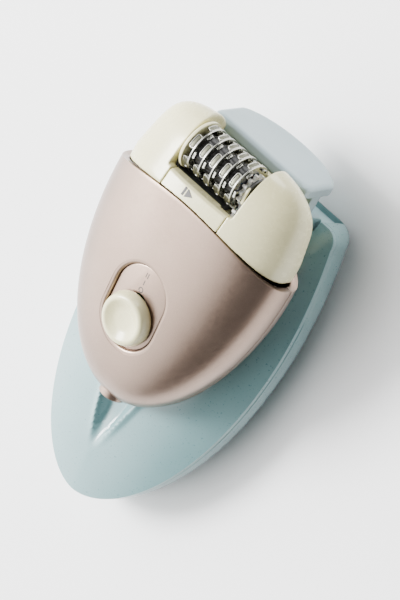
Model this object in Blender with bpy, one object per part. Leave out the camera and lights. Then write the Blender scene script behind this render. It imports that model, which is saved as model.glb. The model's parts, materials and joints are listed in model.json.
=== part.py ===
"""Corded epilator lying in its clip-on ice cooler.

Metres, +Z up.  The cooler sleeve lies on its flat back and points its tip along -Y.  The handset lies
on it, pitched up a little toward its head, with the sliding switch facing up.  Handset parts are
modelled in the handset's own axes (x across, y toward the head, z out of the switch face, y = 0 at the
shoulder between body and head, z = 0 on the parting plane) and hang on the empty "handset_axes".
"""
import math

import bmesh
import bpy
from mathutils import Matrix, Vector

MM = 0.001
GAP = 0.3 * MM               # between faces that touch
RUN = 0.25 * MM              # running clearance of moving parts
WALL = 2.0 * MM              # handset shells

# ---- handset outside ----------------------------------------------------------------------------
BODY_HALF_WIDTH = 36.4 * MM
BODY_LENGTH = 75.2 * MM      # shoulder to tip
BODY_WIDEST_Y = -8.0 * MM
BODY_FRONT_DEPTH = 18.5 * MM
BODY_REAR_DEPTH = 15.0 * MM
REAR_NECK_DEPTH = 10.5 * MM  # the back is flatter behind the head
REAR_FLATTENING = 20.0 * MM  # length over which the back flattens, below the shoulder
SECTION_POWER = 2.4          # superellipse of the cross-section
SHOULDER_DIP = 7.2 * MM      # the shoulder line falls toward the sides
SHOULDER_REAR_RISE = 3.0 * MM
HEAD_HEIGHT = 24.4 * MM      # shoulder to the top of the cheeks
HEAD_STEP = 2.6 * MM         # the head starts this far inside the body's side
HEAD_HALF_WIDTH = BODY_HALF_WIDTH - HEAD_STEP
HEAD_FRONT_DEPTH = 18.2 * MM
HEAD_TAPER = 0.2

# ---- drum and cartridge -------------------------------------------------------------------------
DRUM_Y = 14.2 * MM
DRUM_Z = 9.0 * MM
DISC_RADIUS = 8.2 * MM
DISC_THICKNESS = 0.7 * MM
DISC_PAIRS = 5
PAIR_PITCH = 4.65 * MM
CORE_RADIUS = 5.4 * MM
PAD_HEIGHT = 0.9 * MM
PAD_WIDTH = 1.5 * MM
PADS = 6
COLLAR_PROUD = 0.4 * MM      # the end collar stands over the discs
COLLAR_RADIUS = DISC_RADIUS + COLLAR_PROUD
COLLAR_THICKNESS = 1.3 * MM
OPENING_HALF_WIDTH = 14.2 * MM
PLATE_THICKNESS = 1.1 * MM   # end plates of the cartridge
BAR_HALF_WIDTH = 12.4 * MM
BAR_HEIGHT = 5.6 * MM
BAR_DEPTH = 5.7 * MM
SHAFT_RADIUS = 1.25 * MM
OPENING_BACK_Z = -2.4 * MM
BAR_BACK_Z = BODY_FRONT_DEPTH - BAR_DEPTH
TROUGH_Y = 3.4 * MM
TROUGH_THICKNESS = 1.7 * MM
DRUM_SPAN = OPENING_HALF_WIDTH - GAP - 0.2 * MM - PLATE_THICKNESS - RUN   # to the end plates

# ---- gear train ---------------------------------------------------------------------------------
MODULE = 0.8 * MM
TEETH = {"pinion": 8, "lower": 20, "upper": 16, "drum": 13}
GEAR_WIDTH = 1.4 * MM
GEAR_X = DRUM_SPAN + RUN - GAP - GEAR_WIDTH   # gears end one gap from the end plate
CHAIN_ANGLE = math.radians(14.0)
AXLE_RADIUS = 1.0 * MM
MOTOR_RADIUS = 10.0 * MM
MOTOR_LENGTH = 27.0 * MM
MOTOR_SHAFT = 0.9 * MM
CHASSIS_THICKNESS = 1.6 * MM
CHASSIS_X = GEAR_X - 1.2 * MM - CHASSIS_THICKNESS
MOTOR_END_X = CHASSIS_X - GAP
PACK_LEFT = -DRUM_SPAN + COLLAR_THICKNESS + GAP
PACK_RIGHT = GEAR_X - GAP

# ---- switch, screws and socket --------------------------------------------------------------------------
TRACK_FROM_TIP = 35.7 * MM
TRACK_Y = TRACK_FROM_TIP - BODY_LENGTH
TRACK_RADIUS = 10.2 * MM
TRACK_STRAIGHT = 9.4 * MM
KNOB_RADIUS = 9.0 * MM
KNOB_HEIGHT = 4.6 * MM
SWITCH_TRAVEL = 5.6 * MM
TRACK_DEPTH = 1.6 * MM       # floor of the switch track below the face
TRACK_FLOOR = 1.2 * MM
NECK_RADIUS = 3.0 * MM
BOSS_RADIUS = 3.3 * MM
SCREW_RADIUS = 1.0 * MM
SCREW_HEAD_RADIUS = 2.1 * MM
SCREW_SEAT = -5.0 * MM       # underside of the screw heads
SEAT_SINK = 0.4 * MM          # screw seats start this far inside the rear skin
SOCKET_RADIUS = 4.6 * MM
SOCKET_BORE = 3.5 * MM
SOCKET_LENGTH = 14.5 * MM
PIN_SETBACK = 5.4 * MM       # pin tips inside the mouth
BOARD_FROM_TIP = 22.01 * MM  # the circuit board ends clear of the pins
PIN_RADIUS = 0.55 * MM

# ---- cooler -------------------------------------------------------------------------------------
PITCH = math.radians(7.3)    # handset axis above the sleeve's plane
SLEEVE_LENGTH = 122.0 * MM
SLEEVE_HALF_WIDTH = BODY_HALF_WIDTH
SLEEVE_TOP_HALF_WIDTH = 28.0 * MM
SLEEVE_WIDEST = 74.0 * MM    # from the tip
RIM_HEIGHT = 15.0 * MM
SLEEVE_CROWN = 10.0 * MM
SLEEVE_WALL = 1.8 * MM
CORNER = 5.0 * MM            # of the straight top edge
CRADLE_GAP = 0.7 * MM
CRADLE_MARGIN = 3.0 * MM
HANDSET_LIFT = 39.3 * MM     # parting plane above the table at the shoulder
SHOULDER_TO_SLEEVE_TOP = 9.0 * MM
MOUTH_HALF_WIDTH = 21.6 * MM
MOUTH_DEPTH = 7.0 * MM
PACK_HALF_WIDTH = 20.6 * MM
PACK_HEIGHT = 11.0 * MM
STEM_THICKNESS = 4.5 * MM
STEM_Z = -12.0 * MM          # front face, handset axes
PLATE_HALF_WIDTH = 21.0 * MM
PLATE_TOP_Y = 20.0 * MM
PLATE_HEIGHT = 4.6 * MM
PLATE_FRONT_Z = -5.5 * MM
PLATE_END_DEPTH = 14.0 * MM
PLATE_MID_DEPTH = 23.5 * MM
NECK_TOP_Z = 21.8 * MM
HINGE_Y = 7.0 * MM           # ahead of the shoulder
HINGE_Z = 25.3 * MM          # above the table
HINGE_PIN_RADIUS = 1.0 * MM
KNUCKLE_RADIUS = 2.5 * MM
EAR_THICKNESS = 3.0 * MM

# The origin is under the middle of the whole object: sleeve tip to the top of the cheeks.
TOP_REACH = HEAD_HEIGHT * math.cos(PITCH) - 0.8 * MM
SHOULDER_Y = (SLEEVE_LENGTH - SHOULDER_TO_SLEEVE_TOP - TOP_REACH) / 2
SLEEVE_TOP_Y = SHOULDER_Y + SHOULDER_TO_SLEEVE_TOP
TIP_Y = -BODY_LENGTH

MATERIALS = {
    "shell": ((0.62, 0.50, 0.46), 0.32, 0.55),
    "cream": ((0.86, 0.83, 0.70), 0.28, 0.0),
    "sleeve": ((0.36, 0.58, 0.60), 0.35, 0.0),
    "cooler": ((0.60, 0.68, 0.70), 0.38, 0.2),
    "gel": ((0.35, 0.60, 0.72), 0.30, 0.0),
    "steel": ((0.62, 0.62, 0.58), 0.25, 1.0),
    "brass": ((0.72, 0.55, 0.25), 0.35, 1.0),
    "black": ((0.03, 0.03, 0.03), 0.45, 0.0),
    "nylon": ((0.85, 0.84, 0.80), 0.50, 0.0),
    "board": ((0.10, 0.32, 0.16), 0.50, 0.0),
    "rubber": ((0.08, 0.08, 0.09), 0.80, 0.0),
}


# ---- tools --------------------------------------------------------------------------------------
def clear_scene():
    for item in list(bpy.data.objects):
        bpy.data.objects.remove(item, do_unlink=True)


def material(name):
    found = bpy.data.materials.get(name)
    if found:
        return found
    colour, roughness, metallic = MATERIALS[name]
    made = bpy.data.materials.new(name)
    made.use_nodes = True
    shader = made.node_tree.nodes["Principled BSDF"]
    shader.inputs["Base Color"].default_value = (*colour, 1.0)
    shader.inputs["Roughness"].default_value = roughness
    shader.inputs["Metallic"].default_value = metallic
    made.diffuse_color = (*colour, 1.0)
    return made


def place(name, bm, finish, parent=None, location=(0, 0, 0), rotation=(0, 0, 0)):
    bmesh.ops.remove_doubles(bm, verts=bm.verts, dist=1e-6)
    bmesh.ops.recalc_face_normals(bm, faces=bm.faces)
    mesh = bpy.data.meshes.new(name)
    bm.to_mesh(mesh)
    bm.free()
    mesh.materials.append(material(finish))
    mesh.shade_smooth()
    mesh.set_sharp_from_angle(angle=math.radians(35))
    item = bpy.data.objects.new(name, mesh)
    bpy.context.scene.collection.objects.link(item)
    item.parent = parent
    item.location = location
    item.rotation_euler = rotation
    return item


def empty(name, parent=None, location=(0, 0, 0), rotation=(0, 0, 0)):
    item = bpy.data.objects.new(name, None)
    bpy.context.scene.collection.objects.link(item)
    item.parent = parent
    item.location = location
    item.rotation_euler = rotation
    return item


def combine(target, name, bm, operation, parent=None, location=(0, 0, 0)):
    tool = place(f"{target.name}_{name}", bm, "black", parent, location)
    tool.hide_render = True
    tool.display_type = 'WIRE'
    step = target.modifiers.new(name, 'BOOLEAN')
    step.operation = operation
    step.solver = 'EXACT'
    step.object = tool
    return tool


def cut(target, name, bm, parent=None, location=(0, 0, 0)):
    return combine(target, name, bm, 'DIFFERENCE', parent, location)


def join(target, name, bm, parent=None, location=(0, 0, 0)):
    return combine(target, name, bm, 'UNION', parent, location)


def box(low, high):
    bm = bmesh.new()
    size = [b - a for a, b in zip(low, high)]
    middle = [(a + b) / 2 for a, b in zip(low, high)]
    bmesh.ops.create_cube(bm, size=1.0, matrix=Matrix.Translation(middle) @ Matrix.Diagonal((*size, 1)))
    return bm


def loft(rings, cap=True):
    """Closed rings with the same number of points, skinned in order, with flat ends."""
    bm = bmesh.new()
    rows = [[bm.verts.new(p) for p in ring] for ring in rings]
    count = len(rings[0])
    for a, b in zip(rows, rows[1:]):
        for i in range(count):
            j = (i + 1) % count
            bm.faces.new((a[i], a[j], b[j], b[i]))
    if cap:
        bm.faces.new(rows[0])
        bm.faces.new(list(reversed(rows[-1])))
    else:
        for i in range(count):
            j = (i + 1) % count
            bm.faces.new((rows[-1][i], rows[-1][j], rows[0][j], rows[0][i]))
    return bm


def turned(profile, segments=24):
    """A closed outline of (x, radius) points, none on the axis, turned about X."""
    rings = []
    for x, radius in profile:
        steps = [2 * math.pi * i / segments for i in range(segments)]
        rings.append([(x, radius * math.cos(a), radius * math.sin(a)) for a in steps])
    return loft(rings, cap=False)


def rod(x0, x1, radius, segments=16):
    steps = [2 * math.pi * i / segments for i in range(segments)]
    ring = [(radius * math.cos(a), radius * math.sin(a)) for a in steps]
    return loft([[(x, y, z) for y, z in ring] for x in (x0, x1)])


def prism(outline, low, high, axis):
    """A flat outline pushed from low to high along X, Y or Z."""
    def point(p, q, h):
        return {"X": (h, p, q), "Y": (p, h, q), "Z": (p, q, h)}[axis]
    return loft([[point(p, q, h) for p, q in outline] for h in (low, high)])


def stadium(radius, straight, steps=12):
    """Round-ended slot outline, long along its second coordinate."""
    points = []
    for end in (1, -1):
        for i in range(steps + 1):
            a = math.pi * i / steps + (0 if end > 0 else math.pi)
            points.append((radius * math.cos(a), end * straight / 2 + radius * math.sin(a)))
    return points


def power_curve(t, p, q):
    return max(0.0, 1.0 - max(0.0, t) ** p) ** q


def smooth(t):
    t = min(1.0, max(0.0, t))
    return t * t * (3 - 2 * t)


# ---- handset surface ----------------------------------------------------------------------------
def half_width(y, grow=0.0):
    if y > BODY_WIDEST_Y:
        return BODY_HALF_WIDTH + grow - 0.5 * MM * smooth(1 - y / BODY_WIDEST_Y)
    t = (BODY_WIDEST_Y - y) / (BODY_WIDEST_Y - TIP_Y + grow)
    return (BODY_HALF_WIDTH + grow) * power_curve(t, 2.0, 0.5)


def front_depth(y, grow=0.0):
    return (BODY_FRONT_DEPTH + grow) * power_curve(-y / (BODY_LENGTH + grow), 2.6, 0.5)


def rear_depth(y, grow=0.0):
    depth = BODY_REAR_DEPTH - (BODY_REAR_DEPTH - REAR_NECK_DEPTH) * smooth(1 + y / REAR_FLATTENING)
    return (depth + grow) * power_curve(-y / (BODY_LENGTH + grow), 2.8, 0.5)


def head_half_width(y, grow=0.0):
    return (HEAD_HALF_WIDTH + grow - HEAD_TAPER * max(0.0, y)) * power_curve(y / (HEAD_HEIGHT + grow), 6, 0.3)


def head_front_depth(y, grow=0.0):
    depth = HEAD_FRONT_DEPTH + grow - HEAD_TAPER * max(0.0, y)
    return depth * power_curve(y / (HEAD_HEIGHT + grow), 5, 0.35)


def head_rear_depth(y, grow=0.0):
    return (REAR_NECK_DEPTH + grow) * power_curve(y / (HEAD_HEIGHT + grow), 6, 0.4)


BODY_FORM = (half_width, front_depth, rear_depth)
HEAD_FORM = (head_half_width, head_front_depth, head_rear_depth)


def signed_power(value, power):
    return math.copysign(abs(value) ** power, value)


def surface(angle, y, grow=0.0, form=BODY_FORM):
    """Point on the outside of the body or the head, moved out by grow."""
    width, front, rear = form
    c, s = math.cos(angle), math.sin(angle)
    depth = front(y, grow) if s >= 0 else rear(y, grow)
    x = width(y, grow) * signed_power(c, 2 / SECTION_POWER)
    return Vector((x, y, depth * signed_power(s, 2 / SECTION_POWER)))


def shoulder(angle, half=BODY_HALF_WIDTH):
    """Height of the shoulder line; it dips at the sides and rises again behind."""
    c, s = math.cos(angle), math.sin(angle)
    across = signed_power(c, 2 / SECTION_POWER)
    rise = SHOULDER_REAR_RISE * (1 - across * across) if s < 0 else 0.0
    return shoulder_dip(across * half) + rise


def shoulder_dip(x):
    return -SHOULDER_DIP * (x / BODY_HALF_WIDTH) ** 2


def shell_half(name, start, parent, rows=11, columns=18):
    """One handset shell: outer skin, inner skin and the rim between them."""
    bm = bmesh.new()
    lift = GAP / 2 if start == 0 else -GAP / 2
    skins = []
    for grow in (0.0, -WALL):
        tip = TIP_Y - grow
        grid = []
        for r in range(rows):
            share = math.sin(r / rows * math.pi / 2)
            line = []
            for k in range(columns + 1):
                angle = start + math.pi * k / columns
                top = shoulder(angle)
                p = surface(angle, top + (tip - top) * share, grow)
                line.append(bm.verts.new((p.x, p.y, p.z + lift)))
            grid.append(line)
        pole = bm.verts.new((0, tip, lift))
        for a, b in zip(grid, grid[1:]):
            for k in range(columns):
                bm.faces.new((a[k], a[k + 1], b[k + 1], b[k]))
        for k in range(columns):
            bm.faces.new((grid[-1][k], grid[-1][k + 1], pole))
        skins.append((grid, pole))
    (outer, outer_pole), (inner, inner_pole) = skins
    for k in range(columns):
        bm.faces.new((outer[0][k], outer[0][k + 1], inner[0][k + 1], inner[0][k]))
    for k in (0, columns):
        edge_out = [line[k] for line in outer] + [outer_pole]
        edge_in = [line[k] for line in inner] + [inner_pole]
        for r in range(rows):
            bm.faces.new((edge_out[r], edge_out[r + 1], edge_in[r + 1], edge_in[r]))
    return place(name, bm, "shell", parent)


# ---- gears --------------------------------------------------------------------------------------
def pitch_radius(name):
    return MODULE * TEETH[name] / 2


def gear(name, teeth, phase, bore, parent, location, finish="nylon"):
    """Spur gear across X, centred on its own origin, one tooth at the phase angle."""
    radius = MODULE * teeth / 2
    tip, root = radius + 0.7 * MODULE, radius - 1.15 * MODULE
    shares = ((-0.34, root), (-0.13, tip), (0.13, tip), (0.34, root))
    outline, hole = [], []
    for i in range(teeth):
        for share, r in shares:
            a = phase + 2 * math.pi * (i + share) / teeth
            outline.append((r * math.cos(a), r * math.sin(a)))
            hole.append((bore * math.cos(a), bore * math.sin(a)))
    half = GEAR_WIDTH / 2
    rings = [[(x, *p) for p in ring] for x, ring in
             ((-half, hole), (-half, outline), (half, outline), (half, hole))]
    return place(name, loft(rings, cap=False), finish, parent, location)


def chain_centres():
    """Gear centres from the drum down to the motor, in handset (y, z)."""
    direction = Vector((math.cos(CHAIN_ANGLE), math.sin(CHAIN_ANGLE)))
    centre = Vector((DRUM_Y, DRUM_Z))
    centres = {"drum": centre.copy()}
    order = ("drum", "upper", "lower", "pinion")
    for a, b in zip(order, order[1:]):
        centre = centre - direction * (pitch_radius(a) + pitch_radius(b) + 0.1 * MM)
        centres[b] = centre.copy()
    return centres


CENTRES = chain_centres()
GEAR_MID = GEAR_X + GEAR_WIDTH / 2


def at(name, x=0.0):
    return (x, CENTRES[name].x, CENTRES[name].y)


# ---- handset pieces -----------------------------------------------------------------------------
def screw_sites():
    side = BODY_HALF_WIDTH - WALL - 6.5 * MM
    return {"screw_left": (-side, -16 * MM), "screw_right": (side, -16 * MM),
            "screw_tip": (0.0, TIP_Y + 21.5 * MM)}


def post(x, y, low, high, radius, segments=16):
    steps = [2 * math.pi * i / segments for i in range(segments)]
    return prism([(x + radius * math.cos(a), y + radius * math.sin(a)) for a in steps], low, high, "Z")


def knob_seat():
    """Point and slope of the switch face at the middle of the track."""
    y = TRACK_Y
    rise = front_depth(y + MM) - front_depth(y - MM)
    return Vector((0, y, front_depth(y))), math.atan2(rise, 2 * MM)


def front_shell(parent, slope_axes):
    shell = shell_half("front_shell", 0.0, parent)
    cut(shell, "socket_hole", socket_cutter(), parent)
    for name, (x, y) in screw_sites().items():
        angle = math.acos(abs(x / half_width(y)) ** (SECTION_POWER / 2))
        level = surface(angle, y).z if x else front_depth(y)
        join(shell, f"boss_{name}", post(x, y, GAP, level - WALL / 2, BOSS_RADIUS), parent)
        cut(shell, f"bore_{name}", post(x, y, -MM, level - WALL - 1.5 * MM, SCREW_RADIUS + RUN), parent)
    recess = prism(stadium(TRACK_RADIUS, TRACK_STRAIGHT), -9 * MM, 6 * MM, "Z")
    cut(shell, "track_window", recess, slope_axes)
    return shell


def skin_height(x, y):
    """Height of the rear shell's outer face at a point of the handset."""
    across = power_curve(abs(x) / half_width(y), SECTION_POWER, 1 / SECTION_POWER)
    return -rear_depth(y) * across


def rear_shell(parent):
    shell = shell_half("rear_shell", math.pi, parent)
    for name, (x, y) in screw_sites().items():
        rim = [(x + BOSS_RADIUS * math.cos(2 * math.pi * i / 24),
                y + BOSS_RADIUS * math.sin(2 * math.pi * i / 24)) for i in range(24)]
        seat = loft([[(px, py, skin_height(px, py) + SEAT_SINK) for px, py in rim],
                     [(px, py, -GAP) for px, py in rim]])
        join(shell, f"seat_{name}", seat, parent)
        cut(shell, f"hole_{name}", post(x, y, -20 * MM, MM, SCREW_RADIUS + GAP), parent)
        cut(shell, f"sink_{name}", post(x, y, -20 * MM, SCREW_SEAT, SCREW_HEAD_RADIUS + GAP), parent)
    cut(shell, "socket_hole", socket_cutter(), parent)
    return shell


def socket_cutter():
    bm = rod(TIP_Y - 6 * MM, TIP_Y + SOCKET_LENGTH, SOCKET_RADIUS + GAP, 24)
    bmesh.ops.rotate(bm, verts=bm.verts, matrix=Matrix.Rotation(math.radians(90), 3, 'Z'))
    return bm


def screws(parent):
    for name, (x, y) in screw_sites().items():
        steps = ((SCREW_SEAT - 1.4 * MM, SCREW_HEAD_RADIUS), (SCREW_SEAT - GAP, SCREW_HEAD_RADIUS),
                 (SCREW_SEAT - GAP, SCREW_RADIUS), (5.0 * MM, SCREW_RADIUS))
        angles = [2 * math.pi * i / 12 for i in range(12)]
        rings = [[(r * math.cos(a), r * math.sin(a), z) for a in angles] for z, r in steps]
        place(name, loft(rings), "steel", parent, (x, y, 0))


def head_frame(parent, rows=10, columns=40):
    """Cream head: a dome with a flat-roofed hollow below, split by the drum opening."""
    bm = bmesh.new()
    floor_y = 1.0 * MM
    rings = []
    for grow, top, steps in ((0.0, HEAD_HEIGHT, rows), (-WALL, floor_y, 1)):
        for r in range(steps + 1 if grow else steps):
            share = math.sin(r / steps * math.pi / 2) if not grow else r
            ring = []
            for k in range(columns):
                angle = 2 * math.pi * (k + 0.5) / columns
                base = shoulder(angle, HEAD_HALF_WIDTH) + GAP
                ring.append(surface(angle, base + (top - base) * share, grow, HEAD_FORM))
            rings.append([bm.verts.new(p) for p in ring])
    outer, inner = rings[:rows], rings[rows:]
    pole = bm.verts.new((0, HEAD_HEIGHT, 2 * MM))
    for stack in (outer, inner):
        for a, b in zip(stack, stack[1:]):
            for k in range(columns):
                bm.faces.new((a[k], a[(k + 1) % columns], b[(k + 1) % columns], b[k]))
    for k in range(columns):
        bm.faces.new((outer[-1][k], outer[-1][(k + 1) % columns], pole))
        bm.faces.new((outer[0][k], outer[0][(k + 1) % columns], inner[0][(k + 1) % columns], inner[0][k]))
    bm.faces.new(inner[-1])
    frame = place("head_frame", bm, "cream", parent)

    reach = 40 * MM
    low, wide = OPENING_HALF_WIDTH, OPENING_HALF_WIDTH + 4.5 * MM
    back, front = OPENING_BACK_Z, 22 * MM
    bevel = HEAD_HEIGHT - 5.0 * MM
    outline = [(-low, BAR_HEIGHT), (-low, bevel), (-wide, HEAD_HEIGHT), (-wide, reach), (wide, reach),
               (wide, HEAD_HEIGHT), (low, bevel), (low, BAR_HEIGHT)]
    cut(frame, "drum_opening", prism(outline, back, front, "Z"), parent)
    ledge = PLATE_TOP_Y - PLATE_HEIGHT + MM
    outline = [(x, max(y, ledge)) for x, y in outline]
    cut(frame, "rear_ledge", prism(outline, -reach, back + MM, "Z"), parent)
    bar = BAR_HALF_WIDTH + GAP
    cut(frame, "bar_slot", box((-bar, -4 * MM, BAR_BACK_Z - GAP), (bar, BAR_HEIGHT + MM, front)), parent)
    cut(frame, "trough_slot", box((-low, TROUGH_Y - GAP, back), (low, BAR_HEIGHT + MM, BAR_BACK_Z)), parent)
    cut(frame, "gear_slot", gear_slot(-12 * MM, 12 * MM), parent)
    cut(frame, "cooler_step", box((-reach, PLATE_TOP_Y - PLATE_HEIGHT - 0.8 * MM, -reach),
                                  (reach, reach, PLATE_FRONT_Z + 0.8 * MM)), parent)
    for side in (-1, 1):
        a, b = side * (low + 2 * MM), side * (BODY_HALF_WIDTH - 8.5 * MM)
        pocket = box((min(a, b), -9 * MM, -6 * MM), (max(a, b), 14 * MM, 8 * MM))
        cut(frame, "pocket_left" if side < 0 else "pocket_right", pocket, parent)
    return frame


def gear_slot(low, high):
    centre = CENTRES["upper"]
    reach = pitch_radius("upper") + MODULE + 0.5 * MM
    left, right = CHASSIS_X - GAP, GEAR_MID + GEAR_WIDTH / 2 + RUN
    return box((left, low, centre.y - reach), (right, high, centre.y + reach))


def cartridge_frame(parent):
    """Front bar, trough under the drum, rear rail and two end plates, in one moulding."""
    stations = 13
    rings = []
    for i in range(stations):
        x = BAR_HALF_WIDTH * (2 * i / (stations - 1) - 1)
        share = abs(x) / HEAD_HALF_WIDTH
        base = shoulder_dip(x) + GAP
        full = power_curve(share, SECTION_POWER, 1 / SECTION_POWER)
        front_low, front_high = HEAD_FRONT_DEPTH * full, head_front_depth(BAR_HEIGHT) * full
        rings.append([(x, base, BAR_BACK_Z), (x, base, front_low), (x, BAR_HEIGHT - 0.9 * MM, front_high),
                      (x, BAR_HEIGHT - 0.3 * MM, front_high - 0.9 * MM), (x, BAR_HEIGHT, BAR_BACK_Z)])
    frame = place("cartridge_frame", loft(rings), "cream", parent)
    half = OPENING_HALF_WIDTH - GAP
    back = OPENING_BACK_Z + GAP
    trough = box((-half, TROUGH_Y, back), (half, TROUGH_Y + TROUGH_THICKNESS, BAR_BACK_Z - 0.2 * MM))
    join(frame, "trough", trough, parent)
    join(frame, "web", box((-BAR_HALF_WIDTH + MM, TROUGH_Y + 0.1 * MM, BAR_BACK_Z - MM),
                           (BAR_HALF_WIDTH - MM, TROUGH_Y + TROUGH_THICKNESS - 0.1 * MM,
                            BAR_BACK_Z + MM)), parent)
    rail = box((-half + 0.1 * MM, TROUGH_Y + 0.5 * MM, back + 0.1 * MM),
               (half - 0.1 * MM, DRUM_Y - 2 * MM, DRUM_Z - DISC_RADIUS - PAD_HEIGHT - 2 * RUN))
    join(frame, "rear_rail", rail, parent)
    for side in (-1, 1):
        outline = []
        for i in range(13):
            a = math.pi * i / 12
            outline.append((DRUM_Y + 5 * MM * math.sin(a), DRUM_Z + 5 * MM * math.cos(a)))
        outline += [(TROUGH_Y + 0.3 * MM, back + 0.3 * MM), (TROUGH_Y + 0.3 * MM, BAR_BACK_Z - 0.5 * MM)]
        a, b = side * (half - 0.2 * MM), side * (half - 0.2 * MM - PLATE_THICKNESS)
        plate = prism(outline, min(a, b), max(a, b), "X")
        join(frame, "plate_left" if side < 0 else "plate_right", plate, parent)
    hole = rod(-20 * MM, 20 * MM, SHAFT_RADIUS + RUN)
    cut(frame, "shaft_hole", hole, parent, (0, DRUM_Y, DRUM_Z))
    cut(frame, "gear_window", gear_slot(-3 * MM, TROUGH_Y + TROUGH_THICKNESS + 3 * MM), parent)
    return frame


# ---- drum ---------------------------------------------------------------------------------------


def ring_outline(radius, bump, count, steps):
    points = []
    for i in range(steps):
        a = 2 * math.pi * i / steps
        near = abs(((a * count / (2 * math.pi)) % 1) - 0.5) < 0.2
        r = radius + (bump if near else 0.0)
        points.append((r * math.cos(a), r * math.sin(a)))
    return points


def tweezer_disc(name, x, thickness, radius, parent, pads=False, turn=0.0):
    """Steel ring round the core; a pad disc carries broad pinching pads on its rim."""
    steps = 36 if pads else 28
    outer = ring_outline(radius - (PAD_HEIGHT if pads else 0), PAD_HEIGHT if pads else 0, PADS, steps)
    bore = CORE_RADIUS + GAP
    inner = [(bore * math.cos(2 * math.pi * i / steps), bore * math.sin(2 * math.pi * i / steps))
             for i in range(steps)]
    rings = [[(h, *p) for p in ring] for h, ring in
             ((0, inner), (0, outer), (thickness, outer), (thickness, inner))]
    return place(name, loft(rings, cap=False), "steel", parent, (x, 0, 0), (turn, 0, 0))


def drum(parent, axis):
    shaft = rod(-OPENING_HALF_WIDTH + 2 * GAP, OPENING_HALF_WIDTH - 2 * GAP, SHAFT_RADIUS)
    place("drum_shaft", shaft, "steel", parent, (0, DRUM_Y, DRUM_Z))
    bore = SHAFT_RADIUS + RUN
    core = turned([(PACK_LEFT, bore), (PACK_LEFT, CORE_RADIUS), (PACK_RIGHT, CORE_RADIUS),
                   (PACK_RIGHT, bore)])
    place("drum_core", core, "black", axis)
    collar = turned([(-DRUM_SPAN, bore), (-DRUM_SPAN, COLLAR_RADIUS - 0.5 * MM),
                     (-DRUM_SPAN + 0.4 * MM, COLLAR_RADIUS), (-DRUM_SPAN + COLLAR_THICKNESS, COLLAR_RADIUS),
                     (-DRUM_SPAN + COLLAR_THICKNESS, bore)], 32)
    place("drum_collar", collar, "cream", axis)
    first = (PACK_LEFT + PACK_RIGHT - (DISC_PAIRS - 1) * PAIR_PITCH) / 2
    for i in range(DISC_PAIRS):
        x = first + i * PAIR_PITCH
        left = x - PAD_WIDTH / 2 - 0.5 * MM
        tweezer_disc(f"tweezer_disc_{2 * i + 1:02d}", left, PAD_WIDTH, DISC_RADIUS, axis,
                     True, i * math.radians(18))
        tweezer_disc(f"tweezer_disc_{2 * i + 2:02d}", left + PAD_WIDTH + GAP, DISC_THICKNESS,
                     DISC_RADIUS - 0.1 * MM, axis)
    gear("drum_gear", TEETH["drum"], CHAIN_ANGLE + math.pi + math.pi / TEETH["drum"], bore, axis,
         (GEAR_MID, 0, 0))


def drive(parent, axes):
    gear("idler_gear_upper", TEETH["upper"], CHAIN_ANGLE, AXLE_RADIUS + RUN, axes["upper"], (0, 0, 0))
    gear("idler_gear_lower", TEETH["lower"], CHAIN_ANGLE + math.pi / TEETH["lower"], AXLE_RADIUS + RUN,
         axes["lower"], (0, 0, 0))
    axle_end = GEAR_MID + GEAR_WIDTH / 2 + 0.1 * MM
    for name in ("upper", "lower"):
        axle = rod(CHASSIS_X + GAP / 2, axle_end, AXLE_RADIUS, 12)
        place(f"axle_{name}", axle, "steel", parent, at(name))
    pinion = gear("motor_pinion", TEETH["pinion"], CHAIN_ANGLE, MOTOR_SHAFT + RUN, axes["pinion"],
                  (0, 0, 0), "brass")
    rotor = rod(-MOTOR_LENGTH - 2 * MM - (GEAR_MID - MOTOR_END_X), GEAR_WIDTH, MOTOR_SHAFT, 12)
    place("motor_shaft", rotor, "steel", axes["pinion"])
    return pinion


def motor(parent, rotor_axis):
    bore = MOTOR_SHAFT + RUN
    end = MOTOR_END_X
    can = turned([(end - MOTOR_LENGTH, bore + 3.2 * MM), (end - MOTOR_LENGTH, MOTOR_RADIUS),
                  (end - MM, MOTOR_RADIUS), (end, MOTOR_RADIUS - MM), (end, bore),
                  (end - 1.2 * MM, bore), (end - 1.2 * MM, MOTOR_RADIUS - 1.2 * MM),
                  (end - MOTOR_LENGTH + 1.2 * MM, MOTOR_RADIUS - 1.2 * MM),
                  (end - MOTOR_LENGTH + 1.2 * MM, bore + 3.2 * MM)], 28)
    place("motor_can", can, "steel", parent, at("pinion"))
    low = end - MOTOR_LENGTH
    cap = turned([(low - 1.6 * MM, bore), (low - 1.6 * MM, MOTOR_RADIUS - 2 * MM),
                  (low - GAP, MOTOR_RADIUS - MM), (low - GAP, bore)], 28)
    place("motor_end_cap", cap, "black", parent, at("pinion"))
    armature = turned([(low + 4 * MM, bore), (low + 4 * MM, MOTOR_RADIUS - 4 * MM),
                       (end - 6 * MM, MOTOR_RADIUS - 4 * MM), (end - 6 * MM, bore)], 12)
    bmesh.ops.translate(armature, verts=armature.verts, vec=(-GEAR_MID, 0, 0))
    place("motor_armature", armature, "brass", rotor_axis)


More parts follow.
